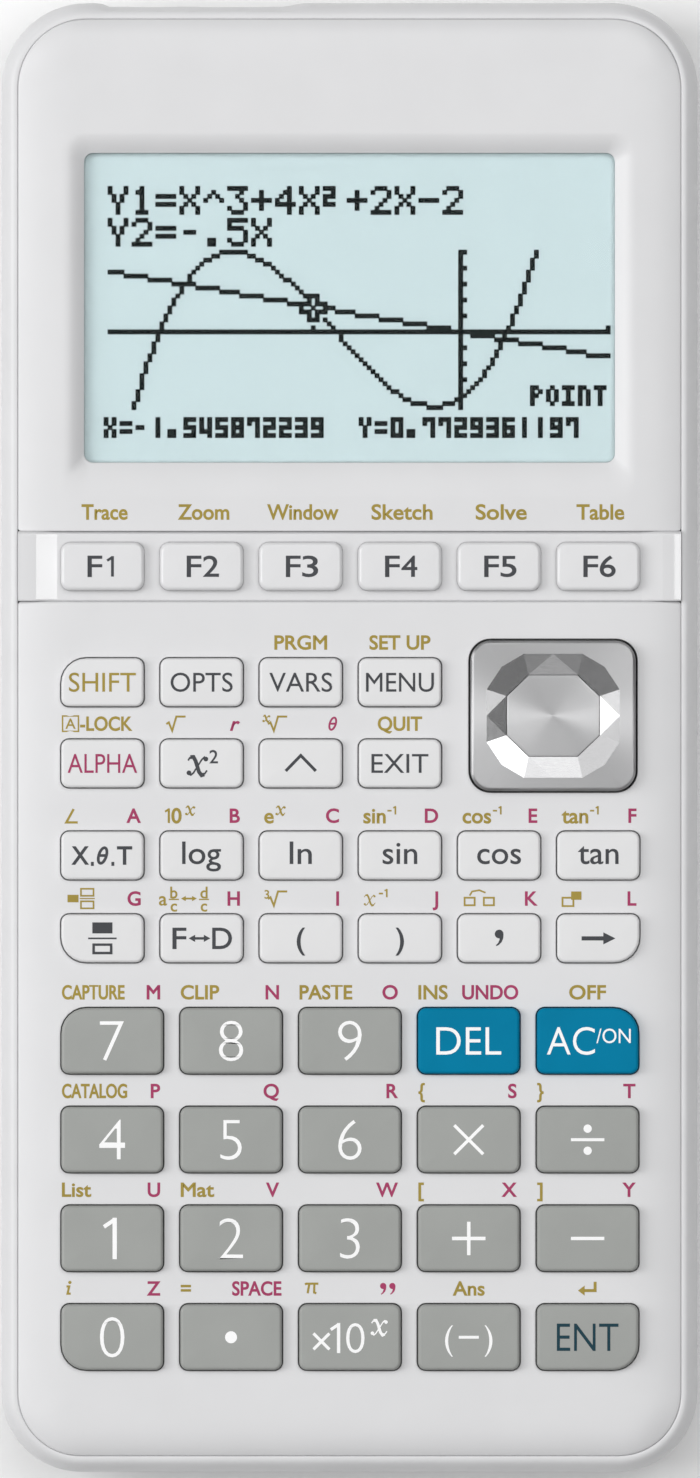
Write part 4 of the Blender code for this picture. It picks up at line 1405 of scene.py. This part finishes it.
def angle_at(at, height, width):
    x, y = at
    low = y - height / 2
    return [stroke([(x + height * 0.55, y + height / 2), (x, low), (x + height * 0.85, low)], width)]


def pi_at(at, height, width):
    x, y = at
    high, low = y + height * 0.36, y - height * 0.36
    return [
        stroke([(x, high - 0.1), (x + 0.15, high), (x + height, high)], width),
        stroke([(x + height * 0.32, high), (x + height * 0.2, low)], width),
        stroke([(x + height * 0.7, high), (x + height * 0.68, low + 0.1), (x + height * 0.85, low)], width),
    ]


def one_at(at, height, width):
    """The digit one, with a flag."""
    x, y = at
    half = height / 2
    flag = [(x - height * 0.26, y + half * 0.56), (x + width * 0.1, y + half - width * 0.35)]
    return [stroke([(x, y - half), (x, y + half)], width), stroke(flag, width * 0.9)]


def italic_x_at(at, height, bold=1.0):
    """A slanting serif x: a thick stroke down and a thin stroke up, with balls at its ends."""
    x, y = at
    h = height / 2
    thick, thin = 0.3 * h * bold, 0.13 * h * bold
    down = [(-0.95, 0.55), (-0.72, 0.9), (-0.4, 0.92), (-0.18, 0.5)]
    down += [(0.16, -0.6), (0.42, -0.95), (0.7, -0.85), (0.98, -0.45)]
    up = [(0.98, 0.72), (0.72, 0.9), (0.45, 0.65), (-0.4, -0.7), (-0.68, -0.93), (-0.98, -0.72)]
    made = [stroke([(x + a * h, y + b * h) for a, b in down[1:-1]], thick)]
    made += [stroke([(x + a * h, y + b * h) for a, b in part], thin) for part in (down[:2], down[-2:], up)]
    ball = 0.19 * h * bold
    for side in (1, -1):
        made.append(filled(ellipse(ball, ball, (x + side * 0.86 * h, y + side * 0.7 * h), steps=10)))
    return made


def comma_at(at, size):
    """A heavy comma: a ball with a tail."""
    x, y = at
    tail = [(0.5, 0.35), (0.46, -0.1), (0.3, -0.5), (-0.05, -0.85), (-0.3, -0.98)]
    tail += [(-0.36, -0.86), (-0.1, -0.6), (0.06, -0.2), (0.0, 0.1)]
    return [
        filled(ellipse(0.5 * size, 0.5 * size, (x, y + 0.4 * size), steps=16)),
        filled([(x + a * size, y + b * size) for a, b in tail]),
    ]


def print_piece(name, shapes, material, z, body="body"):
    """One printed piece: thin raised ink over some flat shapes.

    Shapes that overlap get tops at slightly different heights, so that no two share a plane."""
    bm = bmesh.new()
    for number, shape in enumerate(shapes):
        bmesh.ops.recalc_face_normals(shape, faces=shape.faces)
        for vertex in shape.verts:
            vertex.co.z = z + INK_LIFT
        raised = bmesh.ops.extrude_face_region(shape, geom=shape.faces[:] + shape.edges[:] + shape.verts[:])
        for part in raised["geom"]:
            if isinstance(part, bmesh.types.BMVert):
                part.co.z += INK + 0.0012 * (number % 6)
        mesh = bpy.data.meshes.new("shape")
        shape.to_mesh(mesh)
        shape.free()
        bm.from_mesh(mesh)
        bpy.data.meshes.remove(mesh)
    if z == FACE_TOP:
        drape(bm)
    return make_piece(name, bm, material, body, flat=True)


LABEL = 1.62
LABEL_RISE = 1.75
LETTER_INSET = 0.4
CAPITAL = 2.25
BOLD = 0.055
THIN = 0.24

# key: (words on the cap, their width or None, ochre label, its width or None, pink letter)
LEGENDS = {
    "key_shift": ("SHIFT", 8.0, "", None, ""),
    "key_option": ("OPTS", 7.4, "", None, ""),
    "key_variables": ("VARS", 7.5, "PRGM", 6.2, ""),
    "key_menu": ("MENU", 8.1, "SET UP", 7.2, ""),
    "key_alpha": ("ALPHA", 8.3, "@lock", None, ""),
    "key_square": ("@square", None, "@root", None, "r"),
    "key_power": ("@power", None, "@x_root", None, "@theta"),
    "key_exit": ("EXIT", 6.8, "QUIT", 5.2, ""),
    "key_x_variable": ("@x_theta_t", None, "@angle", None, "A"),
    "key_log": ("log", 4.6, "@10^x", None, "B"),
    "key_ln": ("ln", 2.6, "@e^x", None, "C"),
    "key_sin": ("sin", 4.1, "@sin^1", None, "D"),
    "key_cos": ("cos", 5.2, "@cos^1", None, "E"),
    "key_tan": ("tan", 4.8, "@tan^1", None, "F"),
    "key_fraction": ("@fraction", None, "@mixed", None, "G"),
    "key_convert": ("@convert", None, "@swap", None, "H"),
    "key_open_bracket": ("(", None, "@cube_root", None, "I"),
    "key_close_bracket": (")", None, "@x^1", None, "J"),
    "key_comma": ("@comma", None, "@boxes", None, "K"),
    "key_store": ("@arrow", None, "@frame", None, "L"),
    "key_7": ("7", None, "CAPTURE", 7.4, "M"),
    "key_8": ("8", None, "CLIP", 4.5, "N"),
    "key_9": ("9", None, "PASTE", 6.2, "O"),
    "key_delete": ("DEL", 7.8, "INS", 3.4, "@undo"),
    "key_clear": ("@clear", None, "OFF", 4.3, ""),
    "key_4": ("4", None, "CATALOG", 7.7, "P"),
    "key_5": ("5", None, "", None, "Q"),
    "key_6": ("6", None, "", None, "R"),
    "key_multiply": ("@times", None, "{", None, "S"),
    "key_divide": ("@divide", None, "}", None, "T"),
    "key_1": ("@one", None, "List", 3.4, "U"),
    "key_2": ("2", None, "Mat", 3.9, "V"),
    "key_3": ("3", None, "", None, "W"),
    "key_plus": ("@plus", None, "[", None, "X"),
    "key_minus": ("@minus", None, "]", None, "Y"),
    "key_0": ("0", None, "@i", None, "Z"),
    "key_point": ("@point", None, "=", None, "SPACE"),
    "key_exponent": ("@times_ten", None, "@pi", None, "@quotes"),
    "key_negative": ("@negative", None, "Ans", 3.7, ""),
    "key_enter": ("ENT", 7.4, "@return", None, ""),
}
CENTRED_LABELS = {"key_variables", "key_menu", "key_exit", "key_clear", "key_negative", "key_enter"}
FUNCTION_NAMES = {
    "key_f1": ("Trace", 5.4),
    "key_f2": ("Zoom", 6.0),
    "key_f3": ("Window", 8.4),
    "key_f4": ("Sketch", 7.2),
    "key_f5": ("Solve", 6.0),
    "key_f6": ("Table", 5.6),
}


def cross_at(at, reach, width, turn=0.0):
    """A plus sign, or a times sign when it is turned."""
    w = width / 2
    arm = [(w, w), (w, reach), (-w, reach)]
    points = []
    for quarter in range(4):
        angle = turn + quarter * math.pi / 2
        cos, sin = math.cos(angle), math.sin(angle)
        points += [(at[0] + x * cos - y * sin, at[1] + x * sin + y * cos) for x, y in arm]
    return filled(points)


def square_sign(x, y):
    return italic_x_at((x - 0.5, y - 0.3), 2.35, 1.3) + [
        words_at("2", 1.55, (x + 1.45, y + 0.8), bold=0.02)
    ]


def x_theta_t_sign(x, y):
    ends = [words_at("X", 2.1, (x - 2.65, y), bold=0.06, width=1.9)]
    ends.append(words_at("T", 2.1, (x + 2.65, y), bold=0.06, width=1.7))
    dots = [filled(rectangle(0.17, 0.24, (x + side, y - 1.0))) for side in (-1.2, 1.25)]
    return ends + dots + theta_at((x + 0.02, y), 2.2, 0.34)


def fraction_sign(x, y):
    """A solid box over a bar over an open box."""
    box = filled(rectangle(1.2, 0.66, (x, y + 1.25)))
    bar = stroke([(x - 1.7, y), (x + 1.7, y)], 0.2)
    return [box, bar, stroke(rectangle(1.05, 0.5, (x, y - 1.25)), 0.3, closed=True)]


def convert_sign(x, y):
    ends = [words_at("F", 2.5, (x - 2.65, y), bold=0.03, width=1.6)]
    ends.append(words_at("D", 2.5, (x + 2.45, y), bold=0.03))
    return ends + arrow_at((x - 0.25, y), 2.6, 0.3, both=True)


def store_sign(x, y):
    head = filled([(x + 0.6, y + 0.72), (x + 2.05, y), (x + 0.6, y - 0.72)])
    return [stroke([(x - 2.0, y), (x + 0.8, y)], 0.5), head]


def clear_sign(x, y):
    raised = [words_at("/ON", 1.7, (x + 3.1, y + 0.6), width=4.1)]
    return [words_at("AC", 3.3, (x - 2.0, y), width=5.8, bold=-0.03)] + raised


def times_ten_sign(x, y):
    times = cross_at((x - 3.4, y - 0.5), 1.35, 0.36, math.pi / 4)
    ten = one_at((x - 1.35, y - 0.1), 3.6, 0.4) + [words_at("0", 3.6, (x + 0.65, y - 0.1), bold=-0.06)]
    return [times] + ten + italic_x_at((x + 3.5, y + 1.15), 1.9, 1.2)


def negative_sign(x, y):
    sides = [words_at(mark, 2.8, (x + side, y), bold=-0.02) for mark, side in (("(", -2.35), (")", 2.35))]
    return sides + [stroke([(x - 1.2, y), (x + 1.2, y)], 0.34)]


def divide_sign(x, y):
    dots = [filled(ellipse(0.5, 0.5, (x, y + side))) for side in (1.32, -1.32)]
    return dots + [stroke([(x - 2.0, y), (x + 2.0, y)], 0.36)]


CAP_SIGNS = {
    "@square": square_sign,
    "@power": lambda x, y: [stroke([(x - 1.8, y - 0.9), (x, y + 0.95), (x + 1.8, y - 0.9)], 0.36)],
    "@x_theta_t": x_theta_t_sign,
    "@fraction": fraction_sign,
    "@convert": convert_sign,
    "@arrow": store_sign,
    "@comma": lambda x, y: comma_at((x, y + 0.1), 1.05),
    "@clear": clear_sign,
    "@point": lambda x, y: [filled(ellipse(0.72, 0.72, (x, y)))],
    "@one": lambda x, y: one_at((x + 0.3, y), 4.95, 0.52),
    "@times_ten": times_ten_sign,
    "@negative": negative_sign,
    "@plus": lambda x, y: [cross_at((x, y), 2.0, 0.42)],
    "@minus": lambda x, y: [stroke([(x - 2.0, y), (x + 2.0, y)], 0.4)],
    "@times": lambda x, y: [cross_at((x, y), 2.45, 0.38, math.pi / 4)],
    "@divide": divide_sign,
}


def cap_shapes(name, at):
    """The flat shapes of a key's own legend."""
    words, width = LEGENDS[name][:2]
    if words in CAP_SIGNS:
        return CAP_SIGNS[words](*at)
    if name in NUMBER_KEYS:
        digit = words.isdigit()
        return [words_at(words, 4.95 if digit else 3.3, at, width=width, bold=-0.13 if digit else -0.02)]
    if words.islower():
        return [words_at(words, 2.65, (at[0], at[1] + 0.33), width=width, bold=0.02)]
    if words in "()":
        return [words_at(words, 2.4, at, bold=0.05)]
    return [words_at(words, CAPITAL, at, width=width)]


def raised_minus_one(at):
    """A raised minus one."""
    x, y = at
    return [stroke([(x, y), (x + 0.5, y)], 0.2)] + one_at((x + 0.95, y + 0.05), 1.0, 0.2)


def lock_sign(x, y):
    """A letter in a box, and a word."""
    box = stroke(rectangle(0.95, 0.92, (x + 1.0, y)), 0.18, closed=True)
    letter = words_at("A", 1.2, (x + 1.0, y), bold=0.02)
    return [box, letter, words_at("-LOCK", LABEL, (x + 2.2, y), "left", BOLD, width=6.1)]


def x_root_sign(x, y):
    return italic_x_at((x + 0.7, y + 0.6), 0.8, 1.8) + root_at((x + 0.9, y), 1.7, THIN)


def cube_root_sign(x, y):
    return [words_at("3", 1.0, (x + 0.5, y + 0.5), "left", 0.02)] + root_at((x + 0.9, y), 1.7, THIN)


def i_sign(x, y):
    dot = filled(ellipse(0.2, 0.2, (x + 0.9, y + 0.72), steps=12))
    stem = [(x + 0.5, y + 0.25), (x + 0.82, y + 0.25), (x + 0.62, y - 0.62), (x + 1.0, y - 0.62)]
    return [dot, stroke(stem, 0.26)]


def mixed_sign(x, y):
    """A solid box beside an open box over another."""
    whole = filled(rectangle(0.66, 0.45, (x + 1.3, y)))
    boxes = [stroke(rectangle(0.75, 0.42, (x + 3.0, y + side * 0.75)), 0.2, closed=True) for side in (1, -1)]
    return [whole] + boxes + [stroke([(x + 2.1, y), (x + 3.9, y)], 0.14)]


def swap_sign(x, y):
    """A mixed fraction and a plain one, with an arrow between them."""
    marks = [words_at("a", 1.6, (x + 0.2, y), bold=0.03)]
    for letter, place, rise in (("b", 1.5, 0.72), ("c", 1.5, -0.85), ("d", 5.1, 0.72), ("c", 5.1, -0.85)):
        marks.append(words_at(letter, 1.35, (x + place, y + rise), bold=0.03))
    marks += [stroke([(x + side - 0.6, y - 0.1), (x + side + 0.6, y - 0.1)], 0.16) for side in (1.5, 5.1)]
    return marks + arrow_at((x + 3.3, y), 1.9, 0.22, both=True)


def boxes_sign(x, y):
    """Two open boxes with an arch from one to the other."""
    pair = [stroke(rectangle(0.6, 0.45, (x + side, y - 0.35)), 0.22, closed=True) for side in (1.3, 3.6)]
    arch = [(x + 1.3, y + 0.35), (x + 1.6, y + 0.85), (x + 2.45, y + 1.0), (x + 3.2, y + 0.7)]
    return pair + [stroke(arch, 0.2)]


def frame_sign(x, y):
    """An open box with a solid one behind its corner."""
    outer = stroke(rectangle(0.65, 0.5, (x + 1.2, y - 0.4)), 0.22, closed=True)
    return [outer, filled(rectangle(0.62, 0.5, (x + 2.2, y + 0.35)))]


def return_sign(x, y):
    """An arrow that turns down and to the left."""
    points = [(x + 0.9, y + 0.8), (x + 0.9, y - 0.25), (x - 0.4, y - 0.25)]
    head = filled([(x - 1.15, y - 0.25), (x - 0.35, y + 0.35), (x - 0.35, y - 0.85)])
    return [stroke(points, 0.36), head]


LABEL_SIGNS = {
    "@lock": lock_sign,
    "@root": lambda x, y: root_at((x + 0.6, y), 1.7, THIN),
    "@x_root": x_root_sign,
    "@cube_root": cube_root_sign,
    "@angle": lambda x, y: angle_at((x + 0.5, y), 1.6, 0.28),
    "@pi": lambda x, y: pi_at((x + 0.6, y), 1.6, 0.26),
    "@i": i_sign,
    "@mixed": mixed_sign,
    "@swap": swap_sign,
    "@boxes": boxes_sign,
    "@frame": frame_sign,
    "@return": return_sign,
}


def powered_shapes(base, power, at):
    """A base with a raised x or a raised minus one."""
    x, y = at
    if base == "x":
        first, end = italic_x_at((x + 1.2, y - 0.2), 1.35), x + 2.1
    elif base == "10":
        first = one_at((x + 0.9, y), 1.75, 0.26) + [words_at("0", 1.75, (x + 1.25, y), "left", BOLD)]
        end = x + 2.65
    else:
        first = [words_at(base, 1.75, (x + 0.5, y), "left", BOLD)]
        end = max(v.co.x for v in first[0].verts)
    if power == "x":
        return first + italic_x_at((end + 0.8, y + 0.6), 1.1, 1.4)
    return first + raised_minus_one((end + 0.2, y + 0.6))


def label_shapes(words, at, width, centred):
    """The flat shapes of an ochre label beside a key, starting or centred at a place."""
    if words in LABEL_SIGNS:
        return LABEL_SIGNS[words](*at)
    if words.startswith("@"):
        return powered_shapes(*words[1:].split("^"), at)
    return [words_at(words, LABEL, at, "centre" if centred else "left", BOLD, width=width)]


def letter_shapes(words, at):
    """The flat shapes of a pink letter that ends at a place."""
    x, y = at
    if words == "@theta":
        return theta_at((x - 0.7, y), 1.7, THIN)
    if words == "@quotes":
        return comma_at((x - 0.6, y), 0.75) + comma_at((x - 1.7, y), 0.75)
    if words == "@undo":
        return [words_at("UNDO", LABEL, (x + 0.2, y), "right", BOLD, width=6.6)]
    if words == "SPACE":
        return [words_at("SPACE", LABEL, (x + 0.3, y), "right", BOLD, width=5.8)]
    return [words_at(words, LABEL, at, "right", BOLD, slant=0.3 if words == "r" else 0.0)]


def cap_ink(name):
    """The colour that a key's own legend is printed in."""
    if name == "key_shift":
        return OCHRE_INK
    if name == "key_alpha":
        return PINK_INK
    if name == "key_enter":
        return NAVY_INK
    return WHITE_INK if name in NUMBER_KEYS else DARK_INK


def drape(bm):
    """Lets flat print follow the crowned face."""
    for vertex in bm.verts:
        vertex.co.z -= face_drop(vertex.co.x, vertex.co.y)


def function_key_shapes(number, x, y):
    """The letter F and a key's number."""
    letter = words_at("F", 2.5, (x - 1.75, y), "left", 0.03, width=1.7)
    if number == "1":
        return [letter] + one_at((x + 1.2, y), 2.45, 0.34)
    return [letter, words_at(number, 2.45, (x + 2.05, y), "right", 0.03, width=1.85)]


def make_legends():
    """Legends on every cap, and those printed on the face in ochre and pink."""
    ochre, pink = [], []
    for name, legend in LEGENDS.items():
        label, width, letter = legend[2:]
        x, y = key_middle(name)
        half_x, half_y = key_half(name)
        top = node_box(name)[1].z
        print_piece(name + "_legend", cap_shapes(name, (x, y)), cap_ink(name), top, name)
        line = y + half_y + KEY_GAP + LABEL_RISE
        centred = name in CENTRED_LABELS
        if label:
            ochre += label_shapes(label, (x if centred else x - half_x + 0.1, line), width, centred)
        if letter:
            pink += letter_shapes(letter, (x + half_x - LETTER_INSET, line))
    for name, (words, width) in FUNCTION_NAMES.items():
        x, y = key_middle(name)
        ochre.append(words_at(words, 1.75, (x + 0.25, BAND_Y[1] + 2.3), width=width, bold=BOLD))
        shapes = function_key_shapes(name[-1], x, y)
        print_piece(name + "_legend", shapes, DARK_INK, node_box(name)[1].z, name)
    print_piece("face_print_ochre", ochre, OCHRE_INK, FACE_TOP, "body")
    print_piece("face_print_pink", pink, PINK_INK, FACE_TOP, "body")


# ---------------------------------------------------------------- the CAD solids that still show


def repaint():
    """Materials for the CAD solids that stay: the display panel, the rubber sheet and the pad's pivot."""
    for node, look in (("lcd_module", LCD), ("keypad_mat", SILICONE), ("cursor_pivot", SILICONE)):
        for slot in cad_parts[node].material_slots:
            slot.material = look


# ---------------------------------------------------------------- the studio


# name, place in metres, (size level with the floor, size up its slope) in metres, watts
LAMPS = [
    ("left_lamp", (-1.25, 0.15, 1.00), (0.80, 1.20), 14.8),
    ("right_lamp", (0.61, 0.35, 1.45), (0.90, 0.41), 3.7),
    ("near_card", (0.0, -0.95, 1.35), (0.90, 0.40), 0.9),
    ("far_card", (0.0, 0.98, 1.35), (0.90, 0.40), 2.0),
    ("ceiling", (0.0, 0.27, 2.30), (2.20, 2.20), 22.8),
]
WORLD = 0.13


def add_area(name, place, target, size, watts):
    """A rectangular lamp that faces a target."""
    lamp = bpy.data.lights.new(name, "AREA")
    lamp.shape = "RECTANGLE"
    lamp.size, lamp.size_y = size
    lamp.energy = watts
    obj = bpy.data.objects.new(name, lamp)
    obj.location = place
    obj.rotation_euler = (Vector(target) - Vector(place)).to_track_quat("-Z", "Y").to_euler()
    bpy.context.scene.collection.objects.link(obj)


def make_floor():
    """A plain sheet of paper under the object, a hair lower than its feet."""
    floor = bmesh.new()
    reach = 3.0
    floor.faces.new([floor.verts.new((x, y, 0.0)) for x, y in rectangle(reach, reach, (0.0, 0.0))])
    mesh = bpy.data.meshes.new("floor")
    floor.to_mesh(mesh)
    floor.free()
    obj = bpy.data.objects.new("floor", mesh)
    obj.location.z = -0.02 * MM
    mesh.materials.append(new_material("floor_paper", (0.93, 0.93, 0.93), 0.9)[0])
    bpy.context.scene.collection.objects.link(obj)


def make_studio():
    """The floor, the lamps and a faint even light from all round."""
    make_floor()
    for name, place, size, watts in LAMPS:
        add_area(name, place, (0.0, place[1] if place[0] else 0.0, 0.0), size, watts)
    world = bpy.data.worlds.new("studio")
    world.use_nodes = True
    background = world.node_tree.nodes["Background"]
    background.inputs["Color"].default_value = (1.0, 1.0, 1.0, 1.0)
    background.inputs["Strength"].default_value = WORLD
    bpy.context.scene.world = world


def make_camera():
    """A long lens over the middle of the face, looking straight down, with the display at the top."""
    lens, film = 640.0, 36.0
    margin = 1.00544
    frame_height = 2 * HALF_Y * MM * margin
    camera = bpy.data.cameras.new("camera")
    camera.lens = lens
    camera.sensor_width = film
    camera.clip_end = 20.0
    obj = bpy.data.objects.new("camera", camera)
    obj.location = (0.00006, -0.00018, (WIDEST + FACE_TOP) / 2 * MM + frame_height * lens / film)
    bpy.context.scene.collection.objects.link(obj)
    bpy.context.scene.camera = obj
    bpy.context.scene.view_settings.view_transform = "Standard"


make_camera()
make_studio()
repaint()
make_rear_shell()
make_feet()
make_screws()
make_battery_cover()
make_cells()
make_contacts()
make_board()
make_sockets()
make_face()
make_band()
make_display()
for key_name in ALL_KEYS:
    make_key(key_name)
make_cursor_pad()
make_legends()
